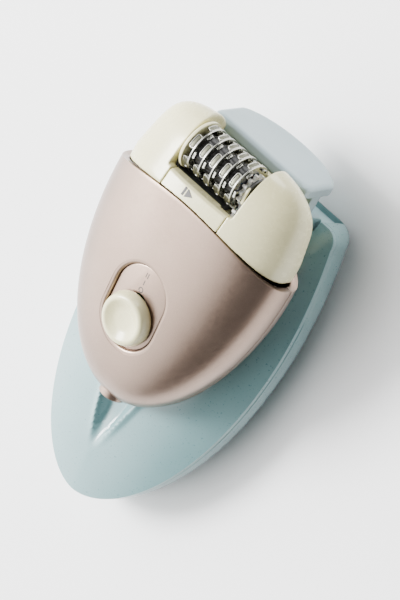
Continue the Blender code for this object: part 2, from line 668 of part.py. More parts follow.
def chassis(parent):
    """Side plate that carries the motor face, both gear axles and the circuit board."""
    outline = []
    points = [("pinion", 6.5 * MM), ("upper", 4.0 * MM)]
    normal = Vector((-math.sin(CHAIN_ANGLE), math.cos(CHAIN_ANGLE)))
    for side in (1, -1):
        order = points if side > 0 else list(reversed(points))
        for name, reach in order:
            p = CENTRES[name] + normal * reach * side
            outline.append((p.x, p.y))
    plate = place("chassis", prism(outline, CHASSIS_X, CHASSIS_X + CHASSIS_THICKNESS, "X"), "nylon", parent)
    hole = rod(CHASSIS_X - 3 * MM, CHASSIS_X + 3 * MM, MOTOR_SHAFT + 2 * RUN)
    cut(plate, "shaft_hole", hole, parent, (0, CENTRES["pinion"].x, CENTRES["pinion"].y))
    for name in ("upper", "lower"):
        blind = rod(CHASSIS_X - MM, CHASSIS_X + 3 * MM, AXLE_RADIUS + RUN / 2)
        cut(plate, f"hole_{name}", blind, parent, (0, CENTRES[name].x, CENTRES[name].y))


def electrics(parent):
    y = CENTRES["pinion"].x - MOTOR_RADIUS - 1.0 * MM
    half, z = 13 * MM, -1.5 * MM
    board = box((-half, TIP_Y + BOARD_FROM_TIP, z), (half, y, z + 1.2 * MM))
    board = place("circuit_board", board, "board", parent)
    site = screw_sites()["screw_tip"]
    notch = post(*site, z - 4 * MM, z + 6 * MM, BOSS_RADIUS + 2 * GAP)
    cut(board, "boss_notch", notch, parent)
    top = z + 1.2 * MM + GAP
    place("capacitor", rod(-4 * MM, 4 * MM, 1.8 * MM, 14), "black", parent,
          (-8.4 * MM, y - 4 * MM, top + 1.8 * MM))
    contact = box((-3.5 * MM, y - 12.5 * MM, top), (3.5 * MM, y - 3.5 * MM, top + 1.6 * MM))
    place("switch_contact", contact, "black", parent)
    return top + 1.6 * MM


def power_inlet(parent):
    """Socket barrel at the tip, with its two contact pins standing on the barrel's floor."""
    mouth = TIP_Y - 0.6 * MM
    floor = TIP_Y + SOCKET_LENGTH - 3.5 * MM
    end = TIP_Y + SOCKET_LENGTH - 0.5 * MM
    outline = [(floor, SOCKET_BORE), (mouth, SOCKET_BORE), (mouth, SOCKET_RADIUS), (end, SOCKET_RADIUS)]
    rings = []
    steps = [2 * math.pi * i / 24 for i in range(24)]
    for y, r in outline:
        rings.append([(r * math.cos(a), y, r * math.sin(a)) for a in steps])
    inlet = place("power_inlet", loft(rings), "black", parent)
    for side, name in ((-1, "inlet_pin_left"), (1, "inlet_pin_right")):
        x = side * 1.4 * MM
        angles = [2 * math.pi * i / 10 for i in range(10)]
        ring = [(PIN_RADIUS * math.cos(a), PIN_RADIUS * math.sin(a)) for a in angles]
        pin = prism([(x + p, q) for p, q in ring], mouth + PIN_SETBACK, end + 2.5 * MM, "Y")
        place(name, pin, "brass", parent)
        bore = prism([(x + p * 1.35, q * 1.35) for p, q in ring], floor - MM, end + 5 * MM, "Y")
        cut(inlet, f"hole_{name}", bore, parent)


def switch(slope_axes, slider_axes):
    """Sunk track, round dished button above it and the carrier that it drives below."""
    plate = prism(stadium(TRACK_RADIUS - GAP, TRACK_STRAIGHT), -TRACK_DEPTH - TRACK_FLOOR, -TRACK_DEPTH, "Z")
    plate = place("switch_track", plate, "shell", slope_axes)
    start = -(TRACK_STRAIGHT / 2 - (TRACK_RADIUS - GAP - KNOB_RADIUS) / 2)
    slot = stadium(NECK_RADIUS + RUN, SWITCH_TRAVEL + 2 * RUN)
    slot = prism([(x, y + start + SWITCH_TRAVEL / 2) for x, y in slot], -9 * MM, 2 * MM, "Z")
    cut(plate, "neck_slot", slot, slope_axes)

    base = -TRACK_DEPTH + GAP
    top = base + KNOB_HEIGHT
    profile = ((base, KNOB_RADIUS - 0.4 * MM), (base + 0.6 * MM, KNOB_RADIUS),
               (top - 2.2 * MM, KNOB_RADIUS - 0.3 * MM),
               (top - 0.8 * MM, KNOB_RADIUS - 1.2 * MM), (top, KNOB_RADIUS - 2.6 * MM),
               (top - 0.3 * MM, KNOB_RADIUS - 4.0 * MM), (top - 1.0 * MM, KNOB_RADIUS * 0.3))
    foot = -TRACK_DEPTH - TRACK_FLOOR - GAP - 1.5 * MM
    angles = [2 * math.pi * i / 28 for i in range(28)]
    stack = ((foot, NECK_RADIUS), (base, NECK_RADIUS)) + profile
    rings = [[(r * math.cos(a), r * math.sin(a), z) for a in angles] for z, r in stack]
    place("switch_button", loft(rings), "cream", slider_axes)
    carrier = box((-6 * MM, -5 * MM, foot - 1.2 * MM - GAP), (6 * MM, 5 * MM, foot - GAP))
    place("switch_carrier", carrier, "nylon", slider_axes)


# ---- cooler -------------------------------------------------------------------------------------
def sleeve_half_width(along, inset=0.0):
    """Half the sleeve's width at a distance from its tip."""
    along = along - inset
    if along < SLEEVE_WIDEST:
        t = 1 - along / (SLEEVE_WIDEST - inset)
        return (SLEEVE_HALF_WIDTH - inset) * power_curve(t, 2.1, 0.55)
    t = (along - SLEEVE_WIDEST) / (SLEEVE_LENGTH - SLEEVE_WIDEST)
    return SLEEVE_HALF_WIDTH - inset - (SLEEVE_HALF_WIDTH - SLEEVE_TOP_HALF_WIDTH) * t ** 1.9


def sleeve_outline(draft=0.0, wall=0.0, z=0.0, side_steps=13):
    """Closed outline seen from above: up the right side, across the straight top, down the left.

    The draft narrows the sides and the tip and hardly the straight top; the wall narrows all."""
    right = []
    inset = draft + wall
    length = SLEEVE_LENGTH - wall - 0.1 * draft
    for i in range(side_steps + 1):
        share = 1 - math.cos(i / side_steps * math.pi / 2)
        along = inset + (length - CORNER - inset) * share ** 0.9
        right.append((sleeve_half_width(along, inset), along))
    x_end = right[-1][0]
    for i in range(1, 4):
        a = i / 3 * math.pi / 2
        right.append((x_end - CORNER * (1 - math.cos(a)), length - CORNER + CORNER * math.sin(a)))
    left = [(-x, y) for x, y in reversed(right[1:])]
    base = SLEEVE_TOP_Y - SLEEVE_LENGTH
    return [(x, base + y, z) for x, y in right + left]


def scaled(ring, share, centre):
    return [(centre[0] + (p[0] - centre[0]) * share, centre[1] + (p[1] - centre[1]) * share, p[2])
            for p in ring]


def mouth_cutter(low, high):
    return box((-MOUTH_HALF_WIDTH, SLEEVE_TOP_Y - MOUTH_DEPTH, low),
               (MOUTH_HALF_WIDTH, SLEEVE_TOP_Y + 9 * MM, high))


def sleeve_back():
    """Hull of the sleeve: flat underneath, sides curving out to the rim."""
    outer = ((13.0, 0.0), (8.0, 1.0), (3.6, 3.4), (1.0, 7.0), (0.1, 10.5), (0.0, 15.0))
    rings = [sleeve_outline(inset * MM, z=level * MM * RIM_HEIGHT / 0.015) for inset, level in outer]
    wall = SLEEVE_WALL
    inner = [sleeve_outline(inset * MM, wall, max(level * MM * RIM_HEIGHT / 0.015, wall))
             for inset, level in outer[:0:-1]]
    inner[-1] = [(x, y, wall) for x, y, z in inner[-1]]
    hull = place("sleeve_back", loft(rings + inner), "sleeve")
    cut(hull, "mouth", mouth_cutter(SLEEVE_WALL + GAP, 60 * MM))
    return hull


def handset_back(x, y_world):
    """Height of the handset's underside above the table at a point, or None beside it."""
    z = -BODY_REAR_DEPTH
    for _ in range(8):
        y = (y_world - SHOULDER_Y + z * math.sin(PITCH)) / math.cos(PITCH)
        if y <= TIP_Y or abs(x) >= half_width(y):
            return None
        z = -rear_depth(y) * power_curve(abs(x) / half_width(y), SECTION_POWER, 1 / SECTION_POWER)
    return HANDSET_LIFT + y * math.sin(PITCH) + z * math.cos(PITCH)


def cover_height(x, y, radial):
    """Top of the sleeve's cover: a crown with the handset's cradle and the cord groove pressed in."""
    height = RIM_HEIGHT + GAP + SLEEVE_WALL + SLEEVE_CROWN * power_curve(radial, 2.4, 1.0)
    for shift in (0.0, CRADLE_MARGIN):
        inward = math.copysign(max(0.0, abs(x) - shift), x)
        for along in (0.0, shift):
            under = handset_back(inward, y + along)
            if under is not None:
                height = min(height, under - CRADLE_GAP)
    tip = SHOULDER_Y + TIP_Y * math.cos(PITCH)
    along = (tip + 3 * MM - y) / (22 * MM)
    if -0.6 < along < 1:
        width = 6.5 * MM * (1 - max(0.0, along)) ** 0.7
        if width > 0:
            height -= 2.6 * MM * smooth(1 - abs(x) / width) * smooth(1 - along)
    return height


def sleeve_front(rows=11):
    """Cover of the sleeve, a wall of even thickness over the rim."""
    bm = bmesh.new()
    rim = sleeve_outline()
    count = len(rim)
    centre = (0.0, SLEEVE_TOP_Y - SLEEVE_LENGTH * 0.42)
    skins = []
    for skin in (0, 1):
        grid = []
        for r in range(rows):
            radial = 1 - r / rows
            line = []
            for x, y, _ in scaled(rim, radial if skin == 0 else min(radial, 1 - 1.8 / 36), centre):
                top = cover_height(x, y, radial)
                line.append(bm.verts.new((x, y, top - skin * SLEEVE_WALL)))
            grid.append(line)
        if skin == 0:
            base = [bm.verts.new((x, y, RIM_HEIGHT + GAP)) for x, y, _ in rim]
            grid.insert(0, base)
        pole = bm.verts.new((*centre, cover_height(*centre, 0.0) - skin * SLEEVE_WALL))
        for a, b in zip(grid, grid[1:]):
            for k in range(count):
                bm.faces.new((a[k], a[(k + 1) % count], b[(k + 1) % count], b[k]))
        for k in range(count):
            bm.faces.new((grid[-1][k], grid[-1][(k + 1) % count], pole))
        skins.append(grid)
    for k in range(count):
        j = (k + 1) % count
        bm.faces.new((skins[0][0][k], skins[0][0][j], skins[1][0][j], skins[1][0][k]))
    cover = place("sleeve_front", bm, "sleeve")
    cut(cover, "mouth", mouth_cutter(0, 60 * MM))
    return cover


def pack_outline(inset, z):
    """Outline of the ice pack: straight sides near the mouth, a rounded tip."""
    points = []
    tip = SLEEVE_TOP_Y - SLEEVE_LENGTH + 17 * MM + inset
    widest = tip + 52 * MM
    top = SLEEVE_TOP_Y - 1.5 * MM - inset
    half = PACK_HALF_WIDTH - inset
    for i in range(13):
        t = math.sin((1 - i / 12) * math.pi / 2)
        points.append((half * power_curve(t, 2.2, 0.5), widest - (widest - tip) * t))
    points.append((half, top))
    ring = points + [(-x, y) for x, y in reversed(points[1:])]
    return [(x, y, z) for x, y in ring]


def ice_pack():
    low = SLEEVE_WALL + 2 * GAP
    high = low + PACK_HEIGHT
    levels = ((1.8, low), (0.0, low + 2.0 * MM), (0.0, high - 2.0 * MM), (1.8, high))
    pack = place("ice_pack", loft([pack_outline(i * MM, z) for i, z in levels]), "gel")
    half = PACK_HALF_WIDTH - 0.4 * MM
    y0, y1 = SLEEVE_TOP_Y - MOUTH_DEPTH + GAP, SLEEVE_TOP_Y - 1.7 * MM
    neck = box((-half, y0, low + 2.2 * MM), (half, y1, NECK_TOP_Z))
    join(pack, "neck", neck)
    cut(pack, "fill_hole", post(0, SLEEVE_TOP_Y - 30 * MM, high - 4 * MM, high + MM, 4.0 * MM + GAP))
    plug = post(0, SLEEVE_TOP_Y - 30 * MM, high - 4 * MM + GAP, high - GAP, 4.0 * MM)
    place("fill_plug", plug, "rubber")
    hinge_y, hinge_z = SHOULDER_Y + HINGE_Y, HINGE_Z
    for side in (-1, 1):
        a, b = side * half, side * (half - EAR_THICKNESS)
        ear = stadium(KNUCKLE_RADIUS, 2 * (hinge_z - NECK_TOP_Z + MM))
        ear = [(hinge_y + p, hinge_z - (hinge_z - NECK_TOP_Z + MM) + q) for p, q in ear]
        name = "ear_left" if side < 0 else "ear_right"
        join(pack, name, prism(ear, min(a, b) + 0.1 * MM, max(a, b) - 0.1 * MM, "X"))
    reach = half + MM
    hole = rod(-reach, reach, HINGE_PIN_RADIUS + RUN)
    cut(pack, "hinge_hole", hole, None, (0, hinge_y, hinge_z))
    pin = rod(-half + 0.5 * MM, half - 0.5 * MM, HINGE_PIN_RADIUS)
    place("cooling_hinge_pin", pin, "steel", None, (0, hinge_y, hinge_z))


def plate_outline(inset=0.0):
    """D-shaped outline of the cooling plate in handset (x, z): straight in front, bowed behind."""
    front, half = PLATE_FRONT_Z - inset, PLATE_HALF_WIDTH - inset
    end, middle = PLATE_END_DEPTH - inset, PLATE_MID_DEPTH - 2 * inset
    corner = 2.2 * MM
    right = [(half - corner, front), (half - corner * 0.3, front - corner * 0.3), (half, front - corner)]
    for i in range(9):
        share = i / 8
        x = half * math.cos(share * math.pi / 2)
        z = front - end - (middle - end) * power_curve(x / half, 2.2, 0.7)
        right.append((x, z))
    left = [(-x, z) for x, z in reversed(right[:-1])]
    return right + left


def cooling_head(hinge_axes):
    """Cooling plate on a broad thin stem whose foot is a knuckle on the ice pack's hinge pin."""
    origin = Vector((0, HINGE_Y, HINGE_Z - HANDSET_LIFT))
    origin.rotate(Matrix.Rotation(-PITCH, 3, 'X'))
    low, high = PLATE_TOP_Y - PLATE_HEIGHT - origin.y, PLATE_TOP_Y - origin.y
    rings = []
    for inset, y in ((1.2, low), (0.0, low + 0.9 * MM), (0.0, high - 1.0 * MM), (0.7, high - 0.3 * MM),
                     (1.6, high)):
        rings.append([(x, y, z - origin.z) for x, z in plate_outline(inset * MM)])
    head = place("cooling_head", loft(rings), "cooler", hinge_axes)
    half = PACK_HALF_WIDTH - 0.4 * MM - EAR_THICKNESS - GAP
    front = STEM_Z - origin.z
    stem_half = PLATE_HALF_WIDTH - 0.6 * MM
    stem = prism([(0.2 * MM, front - STEM_THICKNESS), (low + MM, front - STEM_THICKNESS), (low + MM, front),
                  (0.2 * MM, front - 0.3 * MM)], -stem_half, stem_half, "X")
    join(head, "stem", stem, hinge_axes)
    reach = PLATE_HALF_WIDTH + MM
    for side in (-1, 1):
        a, b = side * half, side * reach
        relief = box((min(a, b), -6 * MM, -8 * MM), (max(a, b), KNUCKLE_RADIUS + 2 * GAP, 8 * MM))
        cut(head, "relief_left" if side < 0 else "relief_right", relief, hinge_axes)
    knuckle = rod(-half + 0.05 * MM, half - 0.05 * MM, KNUCKLE_RADIUS, 20)
    join(head, "knuckle", knuckle, hinge_axes)
    cut(head, "pin_hole", rod(-reach, reach, HINGE_PIN_RADIUS + RUN), hinge_axes)


def main():
    clear_scene()
    handset = empty("handset_axes", None, (0, SHOULDER_Y, HANDSET_LIFT), (PITCH, 0, 0))
    seat, slope = knob_seat()
    slope_axes = empty("switch_axes", handset, seat, (slope, 0, 0))
    start = -(TRACK_STRAIGHT / 2 - (TRACK_RADIUS - GAP - KNOB_RADIUS) / 2)
    slider_axes = empty("switch_slider_axes", slope_axes, (0, start, 0))
    drum_axis = empty("drum_axis", handset, (0, DRUM_Y, DRUM_Z))
    axes = {name: empty(f"{name}_axis", handset, at(name, GEAR_MID)) for name in ("upper", "lower", "pinion")}
    front_shell(handset, slope_axes)
    rear_shell(handset)
    screws(handset)
    head_frame(handset)
    cartridge_frame(handset)
    drum(handset, drum_axis)
    drive(handset, axes)
    motor(handset, axes["pinion"])
    chassis(handset)
    electrics(handset)
    power_inlet(handset)
    switch(slope_axes, slider_axes)
    sleeve_back()
    sleeve_front()
    ice_pack()
    cooling_head(empty("cooling_hinge_axes", None, (0, SHOULDER_Y + HINGE_Y, HINGE_Z), (PITCH, 0, 0)))


main()
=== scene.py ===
"""Looks of the epilator on its ice cooler: fine surfaces, Geometry Nodes drum and procedural finishes.

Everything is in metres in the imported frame.  Handset pieces are made in the handset's own axes
(x across, y toward the head, z out of the switch face) and put in place with HANDSET.
"""
import json
import math

import bmesh
import bpy
from mathutils import Matrix, Vector


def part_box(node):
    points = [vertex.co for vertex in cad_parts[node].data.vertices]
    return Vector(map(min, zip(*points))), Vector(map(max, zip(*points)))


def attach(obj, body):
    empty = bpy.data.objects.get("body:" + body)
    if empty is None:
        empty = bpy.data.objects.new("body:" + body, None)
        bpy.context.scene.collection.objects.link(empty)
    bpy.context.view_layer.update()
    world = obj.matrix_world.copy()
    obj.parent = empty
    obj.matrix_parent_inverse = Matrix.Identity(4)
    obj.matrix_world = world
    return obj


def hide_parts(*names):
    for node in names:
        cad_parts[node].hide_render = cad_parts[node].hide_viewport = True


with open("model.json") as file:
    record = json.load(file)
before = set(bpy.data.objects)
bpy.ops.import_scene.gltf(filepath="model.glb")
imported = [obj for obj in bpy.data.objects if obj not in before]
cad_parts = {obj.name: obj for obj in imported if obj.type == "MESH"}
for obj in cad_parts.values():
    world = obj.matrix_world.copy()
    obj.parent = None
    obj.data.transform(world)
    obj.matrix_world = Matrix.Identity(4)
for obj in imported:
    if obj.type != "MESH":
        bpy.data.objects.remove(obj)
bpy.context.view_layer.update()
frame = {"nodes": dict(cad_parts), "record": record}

MM = 0.001

# ---- sizes of the handset -----------------------------------------------------------------------
PITCH = math.radians(7.3)
BODY_HALF_WIDTH, BODY_LENGTH, BODY_WIDEST_Y = 36.4 * MM, 75.2 * MM, -8.0 * MM
BODY_FRONT_DEPTH, BODY_REAR_DEPTH = 18.5 * MM, 15.0 * MM
REAR_NECK_DEPTH, REAR_FLATTENING = 10.5 * MM, 20.0 * MM
SECTION_POWER = 2.4
SHOULDER_DIP, SHOULDER_REAR_RISE = 7.2 * MM, 3.0 * MM
HEAD_HEIGHT, HEAD_HALF_WIDTH, HEAD_FRONT_DEPTH, HEAD_TAPER = 24.4 * MM, 33.8 * MM, 18.2 * MM, 0.2
TIP_Y = -BODY_LENGTH
GAP = 0.3 * MM
SHELL_WALL = 2.45 * MM
OPENING_HALF_WIDTH, OPENING_BACK_Z = 14.2 * MM, -2.4 * MM
BAR_HALF_WIDTH, BAR_HEIGHT, BAR_DEPTH = 12.4 * MM, 5.6 * MM, 5.7 * MM
BAR_BACK_Z = BODY_FRONT_DEPTH - BAR_DEPTH
TROUGH_Y, TROUGH_THICKNESS = 3.4 * MM, 1.7 * MM
DRUM_Y, DRUM_Z, DISC_RADIUS, CORE_RADIUS = 14.2 * MM, 9.0 * MM, 8.2 * MM, 5.4 * MM
TRACK_Y, TRACK_RADIUS, TRACK_STRAIGHT, TRACK_DEPTH = -39.5 * MM, 10.2 * MM, 9.4 * MM, 1.6 * MM
TRACK_FLOOR, NECK_RADIUS, SWITCH_TRAVEL = 1.2 * MM, 3.0 * MM, 5.6 * MM
KNOB_RADIUS, KNOB_HEIGHT = 9.0 * MM, 4.6 * MM
SOCKET_RADIUS, SOCKET_BORE, SOCKET_LENGTH = 4.6 * MM, 3.5 * MM, 14.5 * MM
PLATE_TOP_Y, PLATE_HEIGHT, PLATE_FRONT_Z = 20.0 * MM, 4.6 * MM, -5.5 * MM

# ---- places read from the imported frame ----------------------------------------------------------
sleeve_low, sleeve_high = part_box("sleeve_back")
SLEEVE_TOP_Y = sleeve_high[1]
SLEEVE_LENGTH = sleeve_high[1] - sleeve_low[1]
SLEEVE_HALF_WIDTH = sleeve_high[0]
RIM_HEIGHT = sleeve_high[2]
drum_joint = next(j for j in frame["record"]["behaviour"]["joints"] if j["name"] == "drum_spin")
DRUM_POINT = Vector(drum_joint["pos_m"])
TURN = Matrix.Rotation(PITCH, 4, 'X')
ORIGIN = DRUM_POINT - (TURN @ Vector((0, DRUM_Y, DRUM_Z)))
HANDSET = Matrix.Translation(ORIGIN) @ TURN
SHOULDER_Y, HANDSET_LIFT = ORIGIN.y, ORIGIN.z


# ---- form of the handset ------------------------------------------------------------------------
def power_curve(t, p, q):
    return max(0.0, 1.0 - max(0.0, t) ** p) ** q


def smooth(t):
    t = min(1.0, max(0.0, t))
    return t * t * (3 - 2 * t)


def soft_min(a, b, radius):
    """Lower of two heights, with a fillet of about the radius where they meet."""
    h = max(0.0, radius - abs(a - b)) / radius
    return min(a, b) - h * h * radius * 0.25


def body_half_width(y, grow=0.0):
    if y > BODY_WIDEST_Y:
        return BODY_HALF_WIDTH + grow - 0.5 * MM * smooth(1 - y / BODY_WIDEST_Y)
    t = (BODY_WIDEST_Y - y) / (BODY_WIDEST_Y - TIP_Y + grow)
    return (BODY_HALF_WIDTH + grow) * power_curve(t, 2.0, 0.5)


def body_front_depth(y, grow=0.0):
    return (BODY_FRONT_DEPTH + grow) * power_curve(-y / (BODY_LENGTH + grow), 2.6, 0.5)


def body_rear_depth(y, grow=0.0):
    depth = BODY_REAR_DEPTH - (BODY_REAR_DEPTH - REAR_NECK_DEPTH) * smooth(1 + y / REAR_FLATTENING)
    return (depth + grow) * power_curve(-y / (BODY_LENGTH + grow), 2.8, 0.5)


def head_half_width(y, grow=0.0):
    width = HEAD_HALF_WIDTH + grow - HEAD_TAPER * max(0.0, y)
    return width * power_curve(y / (HEAD_HEIGHT + grow), 6, 0.3)


def head_front_depth(y, grow=0.0):
    depth = HEAD_FRONT_DEPTH + grow - HEAD_TAPER * max(0.0, y)
    return depth * power_curve(y / (HEAD_HEIGHT + grow), 5, 0.35)


def head_rear_depth(y, grow=0.0):
    return (REAR_NECK_DEPTH + grow) * power_curve(y / (HEAD_HEIGHT + grow), 6, 0.4)


BODY_FORM = (body_half_width, body_front_depth, body_rear_depth)
HEAD_FORM = (head_half_width, head_front_depth, head_rear_depth)


def signed_power(value, power):
    return math.copysign(abs(value) ** power, value)


def surface(angle, y, grow=0.0, form=BODY_FORM):
    width, front, rear = form
    c, s = math.cos(angle), math.sin(angle)
    depth = front(y, grow) if s >= 0 else rear(y, grow)
    x = width(y, grow) * signed_power(c, 2 / SECTION_POWER)
    return Vector((x, y, depth * signed_power(s, 2 / SECTION_POWER)))


def shoulder_dip(x):
    return -SHOULDER_DIP * (x / BODY_HALF_WIDTH) ** 2


def shoulder(angle, half=BODY_HALF_WIDTH):
    c, s = math.cos(angle), math.sin(angle)
    across = signed_power(c, 2 / SECTION_POWER)
    rise = SHOULDER_REAR_RISE * (1 - across * across) if s < 0 else 0.0
    return shoulder_dip(across * half) + rise


def face_height(x, y):
    across = power_curve(abs(x) / body_half_width(y), SECTION_POWER, 1 / SECTION_POWER)
    return body_front_depth(y) * across


# ---- mesh tools ---------------------------------------------------------------------------------
def new_piece(name, bm, finish, place=None, smooth_below=40):
    """Closes the mesh work: merges doubles, turns faces outward and links the object."""
    bmesh.ops.remove_doubles(bm, verts=bm.verts, dist=1e-7)
    bmesh.ops.recalc_face_normals(bm, faces=bm.faces)
    if place is not None:
        bmesh.ops.transform(bm, matrix=place, verts=bm.verts)
    mesh = bpy.data.meshes.new(name)
    bm.to_mesh(mesh)
    bm.free()
    mesh.materials.append(finish)
    mesh.shade_smooth()
    mesh.set_sharp_from_angle(angle=math.radians(smooth_below))
    piece = bpy.data.objects.new(name, mesh)
    bpy.context.scene.collection.objects.link(piece)
    return piece


def settle(piece, smooth_below=40):
    """Turns the evaluated piece into a plain mesh without modifiers."""
    depsgraph = bpy.context.evaluated_depsgraph_get()
    mesh = bpy.data.meshes.new_from_object(piece.evaluated_get(depsgraph))
    piece.modifiers.clear()
    piece.data = mesh
    mesh.shade_smooth()
    mesh.set_sharp_from_angle(angle=math.radians(smooth_below))
    return piece


def carve(piece, cutters, operation='DIFFERENCE'):
    """Cuts or joins each bmesh in turn, then settles the piece."""
    tools = []
    for bm in cutters:
        tool = new_piece("tool", bm, piece.data.materials[0])
        tools.append(tool)
        step = piece.modifiers.new("carve", 'BOOLEAN')
        step.operation = operation
        step.solver = 'EXACT'
        step.object = tool
    settle(piece)
    for tool in tools:
        bpy.data.objects.remove(tool, do_unlink=True)
    return piece


def soften(piece, voxel, rounds):
    """Gives a moulded piece small even radii on all its edges."""
    remesh = piece.modifiers.new("remesh", 'REMESH')
    remesh.mode = 'VOXEL'
    remesh.voxel_size = voxel
    ease = piece.modifiers.new("ease", 'SMOOTH')
    ease.factor = 0.5
    ease.iterations = rounds
    return settle(piece, 180)


def ring_points(radius, count, phase=0.0):
    angles = [phase + 2 * math.pi * i / count for i in range(count)]
    return [(radius * math.cos(a), radius * math.sin(a)) for a in angles]


def loft(rings, cap=True):
    """Rings with equal numbers of points, skinned in order; capped flat or closed into a loop."""
    bm = bmesh.new()
    rows = [[bm.verts.new(p) for p in ring] for ring in rings]
    count = len(rings[0])
    pairs = list(zip(rows, rows[1:]))
    if not cap:
        pairs.append((rows[-1], rows[0]))
    for a, b in pairs:
        for i in range(count):
            bm.faces.new((a[i], a[(i + 1) % count], b[(i + 1) % count], b[i]))
    if cap:
        bm.faces.new(rows[0])
        bm.faces.new(list(reversed(rows[-1])))
    return bm


def prism(outline, low, high, axis="Z"):
    def point(p, q, h):
        return {"X": (h, p, q), "Y": (p, h, q), "Z": (p, q, h)}[axis]
    return loft([[point(p, q, h) for p, q in outline] for h in (low, high)])


def block(low, high):
    bm = bmesh.new()
    size = [b - a for a, b in zip(low, high)]
    middle = [(a + b) / 2 for a, b in zip(low, high)]
    bmesh.ops.create_cube(bm, size=1.0, matrix=Matrix.Translation(middle) @ Matrix.Diagonal((*size, 1)))
    return bm


def stadium(radius, straight, steps=32):
    points = []
    for end in (1, -1):
        for i in range(steps + 1):
            a = math.pi * i / steps + (0 if end > 0 else math.pi)
            points.append((radius * math.cos(a), end * straight / 2 + radius * math.sin(a)))
    return points


def turned_rings(profile, count, axis="Z"):
    """Rings of a profile of (height, radius) pairs turned about an axis."""
    rings = []
    for h, r in profile:
        if axis == "X":
            rings.append([(h, p, q) for p, q in ring_points(r, count)])
        elif axis == "Y":
            rings.append([(p, h, q) for p, q in ring_points(r, count)])
        else:
            rings.append([(p, q, h) for p, q in ring_points(r, count)])
    return rings


def fillet(corners, radius, steps=5):
    """Rounds every inner corner of an open profile of (height, radius) pairs."""
    done = [corners[0]]
    for before, at, after in zip(corners, corners[1:], corners[2:]):
        at, before, after = Vector(at), Vector(before), Vector(after)
        reach = min(radius, (before - at).length / 2, (after - at).length / 2)
        start = at + (before - at).normalized() * reach
        end = at + (after - at).normalized() * reach
        for i in range(steps + 1):
            t = i / steps
            done.append(tuple(start * (1 - t) ** 2 + at * 2 * t * (1 - t) + end * t * t))
    done.append(corners[-1])
    return done


# ---- finishes -----------------------------------------------------------------------------------
class Finish:
    """A Principled material with a few short ways to add procedural detail."""

    def __init__(self, name, roughness, metallic=0.0, **sockets):
        self.material = bpy.data.materials.new(name)
        self.material.use_nodes = True
        self.tree = self.material.node_tree
        self.shader = self.tree.nodes["Principled BSDF"]
        self.shader.inputs["Roughness"].default_value = roughness
        self.shader.inputs["Metallic"].default_value = metallic
        for socket, value in sockets.items():
            self.shader.inputs[socket.replace("_", " ")].default_value = value
        self.coordinates = self.tree.nodes.new("ShaderNodeTexCoord")
        self.height = None

    def node(self, kind, **settings):
        made = self.tree.nodes.new(kind)
        for name, value in settings.items():
            setattr(made, name, value)
        return made

    def link(self, a, b):
        self.tree.links.new(a, b)

    def stretched(self, scale):
        mapping = self.node("ShaderNodeMapping")
        mapping.inputs["Scale"].default_value = scale
        self.link(self.coordinates.outputs["Object"], mapping.inputs["Vector"])
        return mapping.outputs["Vector"]

    def noise(self, scale, detail=3.0, stretch=(1, 1, 1), roughness=0.55):
        made = self.node("ShaderNodeTexNoise")
        made.inputs["Scale"].default_value = scale
        made.inputs["Detail"].default_value = detail
        made.inputs["Roughness"].default_value = roughness
        self.link(self.stretched(stretch), made.inputs["Vector"])
        return made.outputs["Fac"]

    def cells(self, scale):
        made = self.node("ShaderNodeTexVoronoi", feature='F1')
        made.inputs["Scale"].default_value = scale
        self.link(self.coordinates.outputs["Object"], made.inputs["Vector"])
        return made.outputs

    def ramp(self, factor, stops):
        made = self.node("ShaderNodeValToRGB")
        points = made.color_ramp.elements
        while len(points) < len(stops):
            points.new(0.5)
        for point, (place, colour) in zip(points, stops):
            point.position = place
            point.color = (*colour, 1.0) if len(colour) == 3 else colour
        self.link(factor, made.inputs["Fac"])
        return made.outputs["Color"]

    def mix(self, factor, a, b, blend='MIX'):
        made = self.node("ShaderNodeMix", data_type='RGBA', blend_type=blend)
        if isinstance(factor, float):
            made.inputs[0].default_value = factor
        else:
            self.link(factor, made.inputs[0])
        for socket, value in ((made.inputs[6], a), (made.inputs[7], b)):
            if isinstance(value, tuple):
                socket.default_value = (*value, 1.0)
            else:
                self.link(value, socket)
        return made.outputs[2]

    def colour(self, value):
        self.link(value, self.shader.inputs["Base Color"])

    def vary_roughness(self, factor, low, high):
        spread = self.node("ShaderNodeMapRange")
        spread.inputs["From Min"].default_value = 0.3
        spread.inputs["From Max"].default_value = 0.7
        spread.inputs["To Min"].default_value = low
        spread.inputs["To Max"].default_value = high
        self.link(factor, spread.inputs["Value"])
        self.link(spread.outputs["Result"], self.shader.inputs["Roughness"])

    def bump(self, factor, depth, strength=1.0):
        made = self.node("ShaderNodeBump")
        made.inputs["Distance"].default_value = depth
        made.inputs["Strength"].default_value = strength
        self.link(factor, made.inputs["Height"])
        if self.height is not None:
            self.link(self.height, made.inputs["Normal"])
        self.height = made.outputs["Normal"]
        self.link(self.height, self.shader.inputs["Normal"])


def champagne_lacquer():
    """Metallic pink-champagne lacquer: fine flakes under a satin clear coat."""
    finish = Finish("champagne_lacquer", 0.32, 0.9, Coat_Weight=0.25, Coat_Roughness=0.20)
    flakes = finish.cells(5200)
    drift = finish.noise(38, 4)
    base = finish.ramp(drift, [(0.30, (0.255, 0.180, 0.138)), (0.72, (0.300, 0.218, 0.172))])
    glint = finish.ramp(flakes["Color"], [(0.20, (0.86, 0.83, 0.82)), (0.85, (1.0, 1.0, 1.0))])
    finish.colour(finish.mix(0.55, base, glint, 'MULTIPLY'))
    finish.vary_roughness(finish.noise(900, 2), 0.28, 0.37)
    finish.bump(flakes["Distance"], 0.012 * MM, 0.35)
    finish.bump(finish.noise(120, 3), 0.02 * MM, 0.4)
    return finish.material


